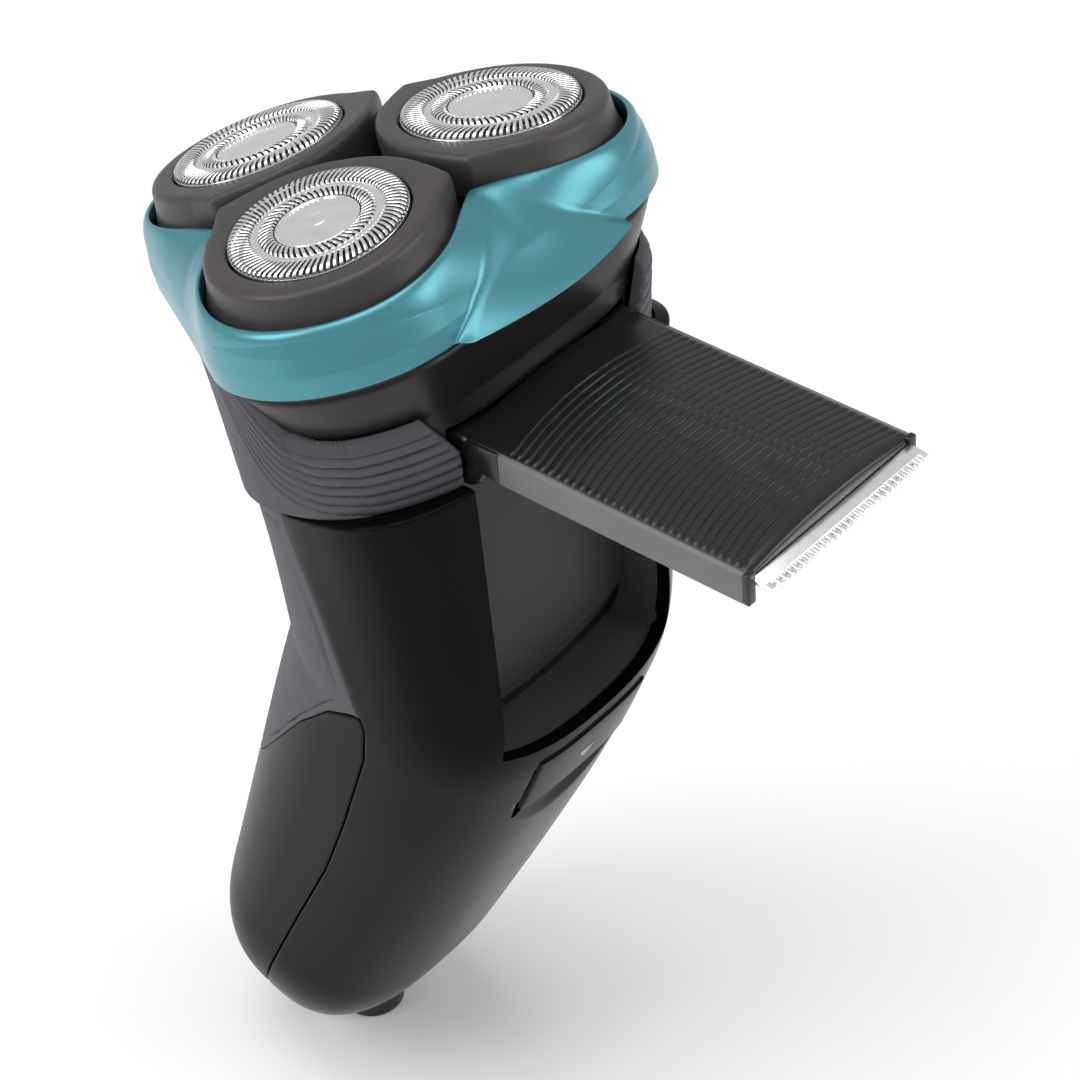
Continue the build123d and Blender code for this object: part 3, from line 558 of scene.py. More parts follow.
def first_crossing(levels, values):
    """For each column, the level where values first goes from negative to positive."""
    rows = values.shape[0]
    sign = values > 0
    first = np.argmax(sign, axis=0)
    none = ~sign.any(axis=0)
    first = np.clip(first, 1, rows - 1)
    cols = np.arange(values.shape[1])
    a, b = values[first - 1, cols], values[first, cols]
    share = np.clip(-a / np.where(np.abs(b - a) < 1e-12, 1e-12, b - a), 0, 1)
    out = levels[first - 1] + share * (levels[first] - levels[first - 1])
    out[none] = levels[-1]
    return out


def seam_turn(at):
    """Turn (0 to a quarter) where the side seam crosses each station."""
    turns = np.linspace(-1.2, 1.4, 240)
    grid = handle_point(np.asarray(at)[None, :], turns[:, None])
    gap = grid[..., 1] - np.interp(grid[..., 2], SEAM_Z, SEAM_Y)
    return first_crossing(turns, gap)


def collar_station(turn):
    """Distance down the spine where the collar's lower edge crosses each turn."""
    levels = np.linspace(-11.0, 40.0, 300)
    grid = to_head(handle_point(levels[:, None], np.asarray(turn)[None, :]))
    return first_crossing(levels, COLLAR_LOW - grid[..., 2])


def grip_station(turn):
    """Distance down the spine of the rubber pad's lower edge at each turn."""
    levels = np.linspace(20.0, 120.0, 500)
    grid = handle_point(levels[:, None], np.asarray(turn)[None, :])
    return first_crossing(levels, np.interp(grid[..., 1], GRIP_Y, GRIP_Z) - grid[..., 2])


SEAM_TABLE_AT = np.linspace(-10.0, HANDLE_LENGTH - 0.3, 400)
SEAM_TABLE = seam_turn(SEAM_TABLE_AT)


def spread(count, crowd=0.0):
    """Even steps from 0 to 1, with extra steps crowded near both ends."""
    u = np.linspace(0, 1, count)
    if crowd:
        edge = np.array([0.0015, 0.003, 0.005, 0.0075, 0.0105, 0.014]) * crowd
        u = np.unique(np.concatenate([u, edge, 1 - edge]))
    return u


def skin_region(side, top, low, cols, rows):
    """Grid over the back (side 1) or the front (side -1) of the handle between two edges."""
    u, v = spread(cols, 1.0), spread(rows, 1.0)
    at = np.full((len(v), len(u)), 60.0)
    for _ in range(8):
        seam = np.interp(at, SEAM_TABLE_AT, SEAM_TABLE)
        if side > 0:
            turn = seam + u[None, :] * (math.pi - 2 * seam)
        else:
            turn = seam - u[None, :] * (math.pi + 2 * seam)
        a = np.stack([top(row) for row in turn]) if callable(top) else np.full(turn.shape, top)
        b = np.stack([low(row) for row in turn]) if callable(low) else np.full(turn.shape, low)
        at = a + v[:, None] * (b - a)
    return handle_point(at, turn)


def tabulated(function):
    """A station function of turn made quick by interpolation, mirrored about the middle plane."""
    turns = np.linspace(-math.pi / 2, math.pi / 2, 721)
    values = function(turns)

    def look(turn):
        wrapped = np.arcsin(np.clip(np.sin(turn), -1, 1))
        return np.interp(wrapped, turns, values)

    return look


COLLAR_EDGE = tabulated(collar_station)
GRIP_EDGE = tabulated(grip_station)
END_CAP = HANDLE_LENGTH - 0.35


def bay_cutter(name):
    """Block that opens the back for the bay, with a dipped lower edge."""
    arc = []
    for k in range(25):
        x = BAY_HALF * (1 - 2 * k / 24)
        arc.append((x, BAY_LOW - BAY_DIP * (1 - (x / BAY_HALF) ** 2)))
    return prism(name, [(-BAY_HALF, 175.0), (BAY_HALF, 175.0)] + arc, BAY_FLOOR, 90.0)


def stadium(half, low, high, steps=24):
    out = []
    for middle, start in ((high - half, 0.0), (low + half, math.pi)):
        for k in range(steps + 1):
            a = start + math.pi * k / steps
            out.append((half * math.cos(a), middle + half * math.sin(a)))
    return out


def slider_frame(points):
    """Local frame on the spine at the release (y to the back, z up along it) to the part's frame."""
    p = np.asarray(points, float)
    y0, z0 = np.interp(SLIDER_AT, FINE, FINE_Y), np.interp(SLIDER_AT, FINE, FINE_Z)
    c, s = math.cos(BEND_TILT), math.sin(BEND_TILT)
    y, z = p[..., 1], p[..., 2]
    return np.stack([p[..., 0], y0 + y * c + z * s, z0 - y * s + z * c], -1)


THUMB_HALF, THUMB_HIGH, THUMB_Z, THUMB_DEEP = 12.6, 5.2, 74.5, 1.1


def back_relief(points):
    """Shallow thumb groove under the release."""
    x, y, z = points[..., 0], points[..., 1], points[..., 2]
    across = np.clip(1 - (x / THUMB_HALF) ** 2, 0, 1)
    centre = THUMB_Z + 5.0 * (x / 12.5) ** 2
    from_mid = (z - centre) / (THUMB_HIGH * np.sqrt(across) + 1e-6)
    bowl = np.clip(1 - from_mid ** 2, 0, 1) * np.sqrt(across)
    return np.where(y > 30, -THUMB_DEEP * bowl ** 1.5, 0.0)


SHELL_WALL, PAD_WALL = 2.0, 1.3
PANEL_HALF, PANEL_LOW, PANEL_HIGH, PANEL_GAP = 10.3, 56.2, 125.8, 0.25
BUTTON_Z, BUTTON_HOLE_R = 107.5, 6.4


def panel_cut():
    """Block a little larger than the front panel."""
    outline = stadium(PANEL_HALF + PANEL_GAP, PANEL_LOW - PANEL_GAP, PANEL_HIGH + PANEL_GAP)
    return prism("panel_cut", outline, -60.0, 16.0)


def make_handle():
    """Back shell, front shell, rubber pad and front panel."""
    back = skin_region(1, COLLAR_EDGE, END_CAP, 240, 300)
    obj = rounded_skin("back_shell_skin", back, SHELL_WALL, relief=back_relief(back))
    boolean(obj, bay_cutter("bay_cut"))
    gap = 0.35
    pocket = [(-SLIDER_HALF - gap, SLIDER_HALF + gap, 18.0, 30.0,
               -SLIDER_HALF_HEIGHT - gap - SLIDER_TRAVEL, SLIDER_HALF_HEIGHT + gap)]
    boolean(obj, boxes_mesh("pocket", pocket, slider_frame))
    finish_piece(obj, "gloss_black", "handle", "back_shell")

    obj = rounded_skin("front_shell_skin", skin_region(-1, GRIP_EDGE, END_CAP, 220, 220), SHELL_WALL)
    boolean(obj, panel_cut())
    finish_piece(obj, "satin_black", "handle", "front_shell")

    pad = skin_region(-1, COLLAR_EDGE, GRIP_EDGE, 150, 120)
    line = np.exp(-((edge_distance(pad) - 2.6) / 0.22) ** 2)
    obj = rounded_skin("side_grip_skin", pad, PAD_WALL, round_r=0.6, relief=-0.28 * line)
    boolean(obj, panel_cut(), rolled=True)
    finish_piece(obj, "rubber", "handle", "side_grip")

    turn = np.linspace(-math.pi / 2 - 0.62, -math.pi / 2 + 0.62, 50)
    at = np.linspace(14.0, 108.0, 120)
    strip = handle_point(at[:, None], turn[None, :])
    spine = np.stack([0 * at, np.interp(at, FINE, FINE_Y), np.interp(at, FINE, FINE_Z)], -1)[:, None, :]
    obj = rounded_skin("front_panel_skin", strip, SHELL_WALL, middle=spine)
    keep = prism("panel_keep", stadium(PANEL_HALF, PANEL_LOW, PANEL_HIGH), -60.0, 16.0)
    boolean(obj, keep, "INTERSECT", True)
    turns = np.linspace(0, 2 * math.pi, 64, endpoint=False)
    hole = [(BUTTON_HOLE_R * math.cos(a), BUTTON_Z + BUTTON_HOLE_R * math.sin(a)) for a in turns]
    boolean(obj, prism("button_hole", hole, -60.0, 30.0))
    finish_piece(obj, "panel_black", "handle", "front_panel")


def back_surface_y(x, z, grow):
    """Depth (y) of the back surface, moved out by grow, over points of the x, z plane."""
    at = np.linspace(-10.0, 90.0, 900)
    lean = np.interp(at, FINE, FINE_LEAN)
    half = smooth_table(at, SIZES_AT, HALF_WIDTHS) + grow
    back = smooth_table(at, SIZES_AT, BACK_DEPTHS) + grow
    out = []
    for px, pz in zip(x, z):
        share = np.clip(abs(px) / half, 0, 1) ** BACK_POWER
        depth = back * (1 - share) ** (1 / BACK_POWER)
        y = np.interp(at, FINE, FINE_Y) + depth * np.cos(lean)
        level = np.interp(at, FINE, FINE_Z) - depth * np.sin(lean)
        out.append(np.interp(pz, level[::-1], y[::-1]))
    return np.array(out)


def bay_outline(grow, top, corner=2.6, lift=0.0):
    """Open U outline of the bay, from the top of one side round to the top of the other."""
    half = BAY_HALF + grow
    low = BAY_LOW - grow + lift
    pts = [(-half, z) for z in np.linspace(top, low + corner, 60)]
    arc = [(x, low - BAY_DIP * (1 - (x / half) ** 2)) for x in np.linspace(-half + corner, half - corner, 50)]
    start, end = pts[-1], arc[0]
    mid = (-half, end[1] + 0.2)
    for k in range(1, 8):
        t = k / 8
        pts.append(tuple((1 - t) ** 2 * start[i] + 2 * t * (1 - t) * mid[i] + t * t * end[i] for i in (0, 1)))
    pts += [p for p in arc if p[0] <= 0]
    return np.array(pts + [(-x, z) for x, z in reversed(pts) if x < -1e-6])


BAY_TOP, TUB_DEEP, TUB_WALL, TUB_GAP = 146.0, 2.2, 1.0, 0.15
EAR_TOP_Z, EAR_TOP_Y = 132.0, 46.4


def bay_plate(name, outline, low, high, mat):
    plate = prism(name, [tuple(p) for p in outline], BAY_FLOOR - low, BAY_FLOOR - high)
    if name == "bay_floor":
        apply_bevel(plate, 0.35)
    finish_piece(plate, mat, "handle")


def make_bay():
    """Tub behind the folded trimmer: side and bottom walls in a lighter grey that is painted light, floor,
    step at the foot in a darker grey that is painted shade, hinge ears.
    """
    line = bay_outline(TUB_GAP, BAY_TOP)
    outside = bay_outline(TUB_GAP + TUB_WALL, BAY_TOP)
    beside_hinge = np.where(line[:, 1] > EAR_TOP_Z, EAR_TOP_Y, 90.0)
    rim = np.minimum(back_surface_y(line[:, 0], line[:, 1], -1.6), beside_hinge)
    bottom = BAY_FLOOR - TUB_DEEP
    depth = bottom + np.linspace(0, 1, 14)[:, None] * (rim - bottom)[None, :]
    inner, outer = (np.stack(np.broadcast_arrays(u[:, 0], depth, u[:, 1]), -1) for u in (line, outside))
    # the walls carry the lighter bay grey, which is painted light
    finish_piece(shell("bay_wall_painted_light", inner, outer, False), "bay_wall_painted_light", "handle", "trimmer_bay")
    bay_plate("bay_floor", bay_outline(-0.1, BAY_TOP, 4.0, 4.6), 1.0, 0.0, "bay")
    # the step carries the darker bay grey, which is painted shade
    bay_plate("bay_step", bay_outline(0.5, 120.0), 2.8, 1.6, "bay_step_painted_shade")
    shelf = np.concatenate([bay_outline(-1.6, 112.0), [(BAY_HALF - 3.2, 112.0), (-BAY_HALF + 3.2, 112.0)]])
    bay_plate("bay_shelf", shelf, 1.7, 1.3, "bay")
    ears = mirrored(7.5, 10.5, BAY_FLOOR - 0.6, HINGE_Y + 1.8, HINGE_Z - 2.2, HINGE_Z + 2.2)
    finish_piece(boxes_mesh("bay_ears", ears, bevel=0.3), "bay", "handle")


SLIDER_PROUD = 0.35


def make_slider():
    """Curved release plate with a plain arrow."""
    x = np.linspace(-SLIDER_HALF, SLIDER_HALF, 70)
    turns = np.linspace(0.3, math.pi / 2, 200)
    grid = []
    for z in np.linspace(-SLIDER_HALF_HEIGHT, SLIDER_HALF_HEIGHT, 36):
        curve = handle_point(SLIDER_AT - z, turns, SLIDER_PROUD)
        turn = np.interp(np.abs(x), curve[::-1, 0], turns[::-1])
        point = handle_point(SLIDER_AT - z, turn, SLIDER_PROUD)
        point[:, 0] = x
        grid.append(point)
    obj = rounded_skin("release_plate", np.array(grid), 1.3, round_r=0.7)
    finish_piece(obj, "gloss_black", "release", "trimmer_release")
    top = handle_point(SLIDER_AT, math.pi / 2, SLIDER_PROUD)
    depth = (top[1] - np.interp(SLIDER_AT, FINE, FINE_Y)) / math.cos(BEND_TILT)
    tip = [(0.0, -1.5), (1.7, 0.9), (-1.7, 0.9)]
    verts = [(a, depth + h, b) for h in (-0.1, 0.06) for a, b in tip]
    faces = [(0, 1, 2), (5, 4, 3), (0, 3, 4, 1), (1, 4, 5, 2), (2, 5, 3, 0)]
    mark = add_mesh("release_arrow", slider_frame(np.array(verts)), faces)
    fix_normals(mark)
    finish_piece(mark, "mark", "release")


# --- Neck ---
def triangle_radius(angle, corner_r):
    """Distance from the middle to a rounded triangle, in a direction in radians."""
    deg = np.degrees(angle)
    off = (deg - 30.0) % 120.0
    off = np.radians(np.minimum(off, 120.0 - off))
    off_flat = math.radians(60.0) - off
    flat = FOIL_ORBIT / 2 + corner_r
    flat_end = np.arctan2(FOIL_ORBIT * math.sin(math.radians(60)), flat)
    on_flat = flat / np.cos(off_flat)
    lobe = FOIL_ORBIT * np.cos(off) + np.sqrt(np.maximum(corner_r ** 2 - (FOIL_ORBIT * np.sin(off)) ** 2, 0))
    return np.where(off_flat < flat_end, on_flat, lobe)


def neck_point(turn, z, inset=0.0):
    """Neck surface in the head's frame."""
    turn, z, inset = np.broadcast_arrays(turn, z, inset)
    c, s = np.cos(turn), np.sin(turn)
    bx = (30.8 - inset) * np.sign(c) * np.abs(c) ** (2 / 2.35)
    by = (22.6 - inset) * np.sign(s) * np.abs(s) ** (2 / 2.35)
    toward = np.arctan2(by, bx)
    radius = triangle_radius(toward, NECK_R - inset)
    share = (NECK_TOP - z) / (NECK_TOP - COLLAR_LOW)
    tx, ty = radius * np.cos(toward), radius * np.sin(toward)
    return np.stack([tx + share * (bx - tx), ty + share * (by + 3.2 - ty), z], -1)


WINDOW_Z = np.array([-24.6, -24.1, -23.6, -22.2, -19.6, -16.4, -15.6])
WINDOW_Y = np.array([60.0, 17.0, 13.2, 9.8, 8.3, 6.8, 6.5])


def window_top(turn):
    """Height up to which the collar reaches at each turn."""
    levels = np.linspace(COLLAR_LOW + 0.5, NECK_TOP, 400)
    grid = neck_point(np.asarray(turn)[None, :], levels[:, None])
    edge = np.interp(grid[..., 2], WINDOW_Z, WINDOW_Y, left=200.0)
    return first_crossing(levels, grid[..., 1] - edge)


def window_distance(points):
    """Side-view distance from the cup window's edge, in the head's frame."""
    edge_z = np.linspace(COLLAR_TOP + 0.02, NECK_TOP, 120)
    edge_y = np.interp(edge_z, WINDOW_Z, WINDOW_Y)
    edge_y = np.concatenate([np.linspace(45.0, 17.5, 60), edge_y[edge_y < 17.5]])
    edge_z = np.concatenate([np.full(60, COLLAR_TOP + 0.3), edge_z[-(len(edge_y) - 60):]])
    y, z = points[..., 1], points[..., 2]
    best = np.full(y.shape, 1e9)
    for ey, ez in zip(edge_y, edge_z):
        best = np.minimum(best, np.hypot(y - ey, z - ez))
    return best


def notch_turn(z):
    """Turn at which the collar stops beside the trimmer; its ends slant apart above the trimmer."""
    turns = np.linspace(0.4, math.pi / 2, 300)
    points = neck_point(turns[:, None], np.asarray(z)[None, :])
    width = np.interp(from_head(points)[..., 2], [146.5, 155.0], [BAY_HALF, BAY_HALF + 6.0])
    return first_crossing(turns, width - points[..., 0])


RIB_PITCH, RIB_FIRST, RIB_LAST, RIB_GROOVE = 1.62, 1.75, 6, 0.42


def make_collar():
    """Ribbed soft collar that climbs to the ring at the front and stops either side of the trimmer."""
    levels = np.linspace(COLLAR_LOW, NECK_TOP, 120)
    ends = notch_turn(levels)
    edge_turns = np.linspace(-math.pi / 2, math.pi / 2, 721)
    edge_tops = window_top(edge_turns)
    u, v = spread(620, 0.5)[None, :], spread(64, 3.0)[:, None]
    low = COLLAR_LOW + 0.1
    z = low + v * (COLLAR_TOP - low) + 0 * u
    for _ in range(8):
        end = np.interp(z, levels, ends)
        turn = end - u * (math.pi + 2 * end)
        top = np.interp(np.arcsin(np.clip(np.sin(turn), -1, 1)), edge_turns, edge_tops)
        z = low + v * (top - low)
    local = neck_point(turn, z)
    away = window_distance(local)
    phase = (away - RIB_FIRST) / RIB_PITCH
    nearest = np.round(phase)
    groove = np.exp(-((phase - nearest) * RIB_PITCH / 0.17) ** 2)
    groove = np.where((nearest >= 0) & (nearest <= RIB_LAST), groove, 0.0)
    ribbed = (phase > 0) & (phase < RIB_LAST)
    rib = np.where(ribbed, 0.06 * np.cos(2 * math.pi * (phase - 0.5)), 0.0)
    shoulder = np.clip(1 - away / 2.2, 0, 1)
    relief = rib - RIB_GROOVE * groove - 1.4 * shoulder ** 2
    obj = rounded_skin("grip_collar_skin", from_head(local), 1.7, relief=relief)
    finish_piece(obj, "rubber", "handle", "grip_collar")


def make_cup():
    """Dark cup between the ring and the collar."""
    turn = np.linspace(0, 2 * math.pi, 480, endpoint=False)
    z = np.linspace(NECK_TOP - 0.05, CUP_LOW, 52)
    down = (NECK_TOP - z) / (NECK_TOP - COLLAR_TOP)
    inset = 0.35 + 2.1 * np.clip(down, 0, 1) ** 1.3 + 0.5 * np.exp(-((down - 0.02) / 0.05) ** 2)
    outer = neck_point(turn[None, :], z[:, None], inset[:, None])
    inner = neck_point(turn[None, :], z[:, None], inset[:, None] + 1.5)
    obj = shell("neck_cup_skin", from_head(outer), from_head(inner), True)
    boolean(obj, boxes_mesh("notch", [(-BAY_HALF, BAY_HALF, 38.0, 90.0, 120.0, TRIMMER_TOP + 0.5)]))
    finish_piece(obj, "cup", "handle", "neck_cup")


# --- Head ring ---
INNER_TURNS = np.radians([100.0, 106.0, 111.0, 116.0, 121.0, 127.0, 135.0, 150.0, 165.0, 180.0])
INNER_REACH = np.array([15.75, 16.25, 16.9, 17.65, 17.1, 16.6, 16.1, 15.65, 15.35, 15.15])
INNER_DRAFT = 0.5


def pod_radius(turn, grow=0.0):
    """Plan outline of a cutting unit as distance from its foil's centre: round outside, two corners,
    and bowed inner sides that meet in a blunt tip."""
    wrapped = np.abs((np.asarray(turn, float) + math.pi) % (2 * math.pi) - math.pi)
    fine = np.linspace(-math.pi, math.pi, 1440, endpoint=False)
    radius = np.interp(np.abs(fine), INNER_TURNS, INNER_REACH, left=POD_R)
    swell = 0.25 * np.clip(np.abs(fine) / INNER_TURNS[0], 0, 1) ** 6
    radius = np.where(np.abs(fine) < INNER_TURNS[0], POD_R + swell, radius)
    return np.interp(wrapped, fine, smoothed(radius, 11)) + grow


RING_GAP = 1.4


def hole_radius(angle):
    """Inner edge of the ring: outline of the three cutting units with a gap."""
    best = np.full(angle.shape, 19.9)
    turns = np.linspace(-math.pi, math.pi, 2881)
    reach = pod_radius(turns, RING_GAP)
    x = FOIL_ORBIT + reach * np.cos(turns)
    y = reach * np.sin(turns)
    off, rho = np.arctan2(y, x), np.hypot(x, y)
    bins = np.linspace(-math.radians(58), math.radians(58), 233)
    peak = np.zeros(len(bins))
    index = np.round((off - bins[0]) / (bins[1] - bins[0])).astype(int)
    inside = (index >= 0) & (index < len(bins))
    np.maximum.at(peak, index[inside], rho[inside])
    filled = peak > 0
    peak = np.interp(bins, bins[filled], peak[filled])
    for centre in FOIL_ANGLES:
        local = (angle - math.radians(centre) + math.pi) % (2 * math.pi) - math.pi
        best = np.maximum(best, np.interp(local, bins, peak, left=0.0, right=0.0))
    return best


RING_Z = np.array([-15.0, -12.0, -9.0, -6.0])
RING_R = np.array([18.7, 18.8, 18.4, 17.45])


def flat_share(angle):
    """Degrees from the middle of the nearest flat side of the head."""
    return np.abs((np.degrees(angle) - 90.0 + 60.0) % 120.0 - 60.0)


def ring_outer(angle, z):
    """Outer wall of the ring, slightly hollow on its flat sides."""
    radius = triangle_radius(angle, np.interp(z, RING_Z, RING_R))
    hollow = np.clip(1 - (flat_share(angle) / 30.0) ** 2, 0, 1)
    return radius - 0.7 * hollow * np.exp(-((z + 10.5) / 3.0) ** 2)


SCOOP_HALF = 31.5
ARCH_OFF = np.linspace(0.0, SCOOP_HALF, 22)
ARCH_Z = -4.9 - 10.5 * (ARCH_OFF / SCOOP_HALF) ** 1.9
RING_LOW = -15.0


def thumb_scoop(angle, radius, z):
    """Leaf-shaped hollow at the back: below an arch the surface runs out to the lip."""
    off = np.abs((np.degrees(angle) - 90.0 + 180.0) % 360.0 - 180.0)
    arch = np.interp(off, ARCH_OFF, ARCH_Z)
    width = 2.2 + 2.4 * np.clip(1 - off / 31.0, 0, 1)
    below = np.clip((arch - z) / width, 0, 1)
    weight = below * below * (3 - 2 * below) * np.clip((SCOOP_HALF - off) / 1.2, 0, 1)
    lip = 33.6 + 1.1 * (off / 30.0) ** 2
    depth = np.clip((z - RING_LOW) / 10.2, 0, 1)
    slope = lip - (lip - 26.2) * depth ** 0.66
    return radius + weight * (slope - radius)


def make_ring():
    """Satin ring: walls, a dome running in to the cutting units, and a thumb scoop."""
    angle = np.linspace(0, 2 * math.pi, 960, endpoint=False)
    hole = smoothed(hole_radius(angle), 25)
    swing = np.cos(np.radians(flat_share(angle) * 3.0))
    top_z = -6.0 + 2.9 * (0.5 + 0.5 * swing) ** 1.5
    shoulder = -9.45 - 2.15 * swing
    flatness = 0.86 - 0.14 * swing
    rows = []
    for share in np.concatenate([[0.0, 0.006, 0.016, 0.03], np.linspace(0.05, 1.0, 52)]):
        z = RING_LOW + share * (shoulder - RING_LOW)
        r = thumb_scoop(angle, ring_outer(angle, z), z) - 0.5 * np.clip(1 - share / 0.03, 0, 1) ** 2
        rows.append(polar(r, angle, z))
    edge_r = ring_outer(angle, shoulder)
    for share in np.linspace(0.03, 1.0, 44):
        bend = share * math.pi / 2
        r = edge_r - (edge_r - hole) * (1 - np.cos(bend)) ** flatness
        z = shoulder + (top_z - shoulder) * np.sin(bend) ** (2 - flatness)
        rows.append(polar(thumb_scoop(angle, r, z), angle, z))
    r, z = np.hypot(rows[-1][:, 0], rows[-1][:, 1]), rows[-1][:, 2]
    for inset, drop in ((0.14, 0.04), (0.24, 0.2), (0.26, 1.2), (0.26, 3.0)):
        rows.append(polar(r - inset, angle, z - drop))
    inner = np.minimum(triangle_radius(angle, 17.25), ring_outer(angle, np.full(angle.shape, -10.5)) - 0.9)
    rows += [polar(inner, angle, z) for z in (-9.6, -12.0, RING_LOW + 0.1, RING_LOW)]
    faces = ring_faces(len(rows), len(angle))
    obj = add_closed("head_ring_skin", from_head(np.array(rows)).reshape(-1, 3), faces, 50)
    finish_piece(obj, "teal", "head", "head_ring")


# --- Cutting units ---
POD_LIP = ((0.35, -3.0), (0.35, -0.75), (0.42, -0.5), (0.60, -0.34), (0.85, -0.3))
POD_SIDE = ((-1.5, -0.30), (-1.1, -0.33), (-0.75, -0.42), (-0.45, -0.58), (-0.2, -0.86), (-0.06, -1.2),
            (0.0, -1.6), (0.08, -2.1), (0.2, -2.8), (0.38, -3.6), (0.62, -4.5), (0.95, -5.4),
            (1.2, -5.9), (1.2, -6.1), (0.3, -6.1), (-0.9, -4.5))


def make_pod(number, angle):
    """Charcoal housing round one foil: lip of the foil's seat, then its rounded, flared side."""
    turn = np.linspace(-math.pi, math.pi, 288, endpoint=False)
    flat = polar(pod_radius(turn), turn, 0.0)
    tangent = np.roll(flat, -1, 0) - np.roll(flat, 1, 0)
    normal = np.stack([tangent[:, 1], -tangent[:, 0], 0 * turn], -1)
    normal /= np.linalg.norm(normal, axis=1, keepdims=True)
    outside = np.interp(np.abs(turn), np.radians([95.0, 118.0]), [1.0, 0.0])
    fillet = np.interp(np.abs(turn), np.radians([85.0, 112.0]), [1.0, 0.55])
    rows = [polar(FOIL_R + gap, turn, z) for gap, z in POD_LIP]
    for out, z in POD_SIDE:
        draft = INNER_DRAFT * np.clip((-z - 2.0) / 4.0, 0, 1) * (1 - outside)
        moved = out * (fillet if out < 0 else outside) - draft
        rows.append(flat + normal * moved[:, None] + np.array([0, 0, z]))
    rows.append(polar(FOIL_R + 0.9, turn, -3.0))
    faces = ring_faces(len(rows), len(turn))
    obj = add_closed("pod_skin_%d" % number, from_pod(np.array(rows), angle).reshape(-1, 3), faces, 40)
    finish_piece(obj, "charcoal", "pod_%d" % number, "cutter_pod_%d" % number)


def slat_ring(count, profile, fill, slant, thickness):
    """Bars of a foil track: each follows a radial profile and leans by slant degrees."""
    prof = np.asarray(profile, float)
    r_low, r_high = prof[0, 0], prof[-1, 0]
    verts, faces = [], []
    half = fill * math.pi / count
    for i in range(count):
        middle = 2 * math.pi * i / count
        base = len(verts)
        for r, z in prof:
            lean = math.radians(slant) * (r - r_low) / (r_high - r_low)
            side = half * (r_low / r) ** 0.25
            for a, h in ((-side, z - thickness), (-side, z - 0.05), (-side * 0.7, z), (side * 0.7, z),
                         (side, z - 0.05), (side, z - thickness)):
                t = middle + lean + a
                verts.append((r * math.cos(t), r * math.sin(t), h))
        rows = len(prof)
        faces += grid_faces(rows, 6, True, start=base)
        faces.append(tuple(base + j for j in range(6)))
        faces.append(tuple(base + (rows - 1) * 6 + j for j in reversed(range(6))))
    return np.array(verts), faces


OUTER_TRACK = ((8.75, 0.12), (8.95, 0.42), (9.3, 0.54), (10.2, 0.58), (11.0, 0.54), (11.5, 0.40),
               (11.8, 0.12), (11.9, -0.35))
INNER_TRACK = ((5.75, 0.15), (5.95, 0.42), (6.3, 0.52), (7.2, 0.52), (7.6, 0.40), (7.8, 0.12))
FOIL_GROOVE = ((7.75, -0.30), (7.75, 0.10), (7.95, 0.20), (8.3, 0.22), (8.6, 0.18), (8.80, 0.08),
               (8.85, -0.3))
FOIL_WALL = ((11.5, -0.6), (11.5, -0.35), (11.93, -0.35), (11.98, -0.45), (11.95, -2.9), (11.5, -2.9))
FOIL_UNDER = ((5.2, -0.75), (5.2, -0.55), (11.5, -0.55), (11.5, -0.75))
FOIL_DISC = ((0.0, -0.5), (5.55, -0.5), (5.6, 0.12), (5.5, 0.20), (5.3, 0.20), (5.12, 0.06), (4.9, 0.10),
             (3.4, 0.30), (2.0, 0.44), (1.75, 0.46), (1.6, 0.40), (1.45, 0.40), (1.3, 0.48), (0.8, 0.52),
             (0.0, 0.53))


def make_foil(number, angle):
    """Foil: two slotted tracks, a smooth groove between them, a rolled outer rim, a dark steel ring under the
    slats as painted shade, and the centre disc.
    """
    body, foil = "foil_unit_%d" % number, "foil_%d" % number

    def place(points):
        return from_pod(points, angle)

    verts, faces = slat_ring(84, OUTER_TRACK, 0.56, -6.0, 0.42)
    more, more_faces = slat_ring(54, INNER_TRACK, 0.60, 9.0, 0.42)
    faces = faces + [tuple(len(verts) + i for i in f) for f in more_faces]
    slats = add_closed("foil_slats_%d" % number, place(np.concatenate([verts, more])), faces, 30)
    finish_piece(slats, "foil", body)
    finish_piece(revolve_ring("foil_groove_%d" % number, FOIL_GROOVE, place), "foil", body)
    finish_piece(revolve_ring("foil_wall_%d" % number, FOIL_WALL, place), "foil", body)
    # the ring under the slats is dark steel, painted shade seen through the slots
    finish_piece(revolve_ring("foil_%d_under" % number, FOIL_UNDER, place), "slot_painted_shade", body, foil)
    finish_piece(revolve_disc("foil_disc_%d" % number, FOIL_DISC, place), "cap", body, "foil_cap_%d" % number)


# --- Trimmer ---
COVER_CROWN, COVER_RIBS, COVER_PITCH = 1.5, 29, 1.27
COVER_HALF = TRIMMER_HALF - 0.45
COVER_BASE = TRIMMER_TOP - 0.95
COVER_END = TRIMMER_END - 1.6
COVER_EDGE = np.array([0.0, 0.12, 0.3, 0.5, 0.75, 1.05, 1.4])
WALL_THICK, WALL_TOP, WALL_START = 1.5, TRIMMER_TOP - 0.42, HINGE_Y + 6.4
KNUCKLE_R, KNUCKLE_EDGE, PIN_HOLE_R = 3.9, 0.3, 1.07
KNUCKLES = ((11.2, 16.9), (0.6, 6.8))


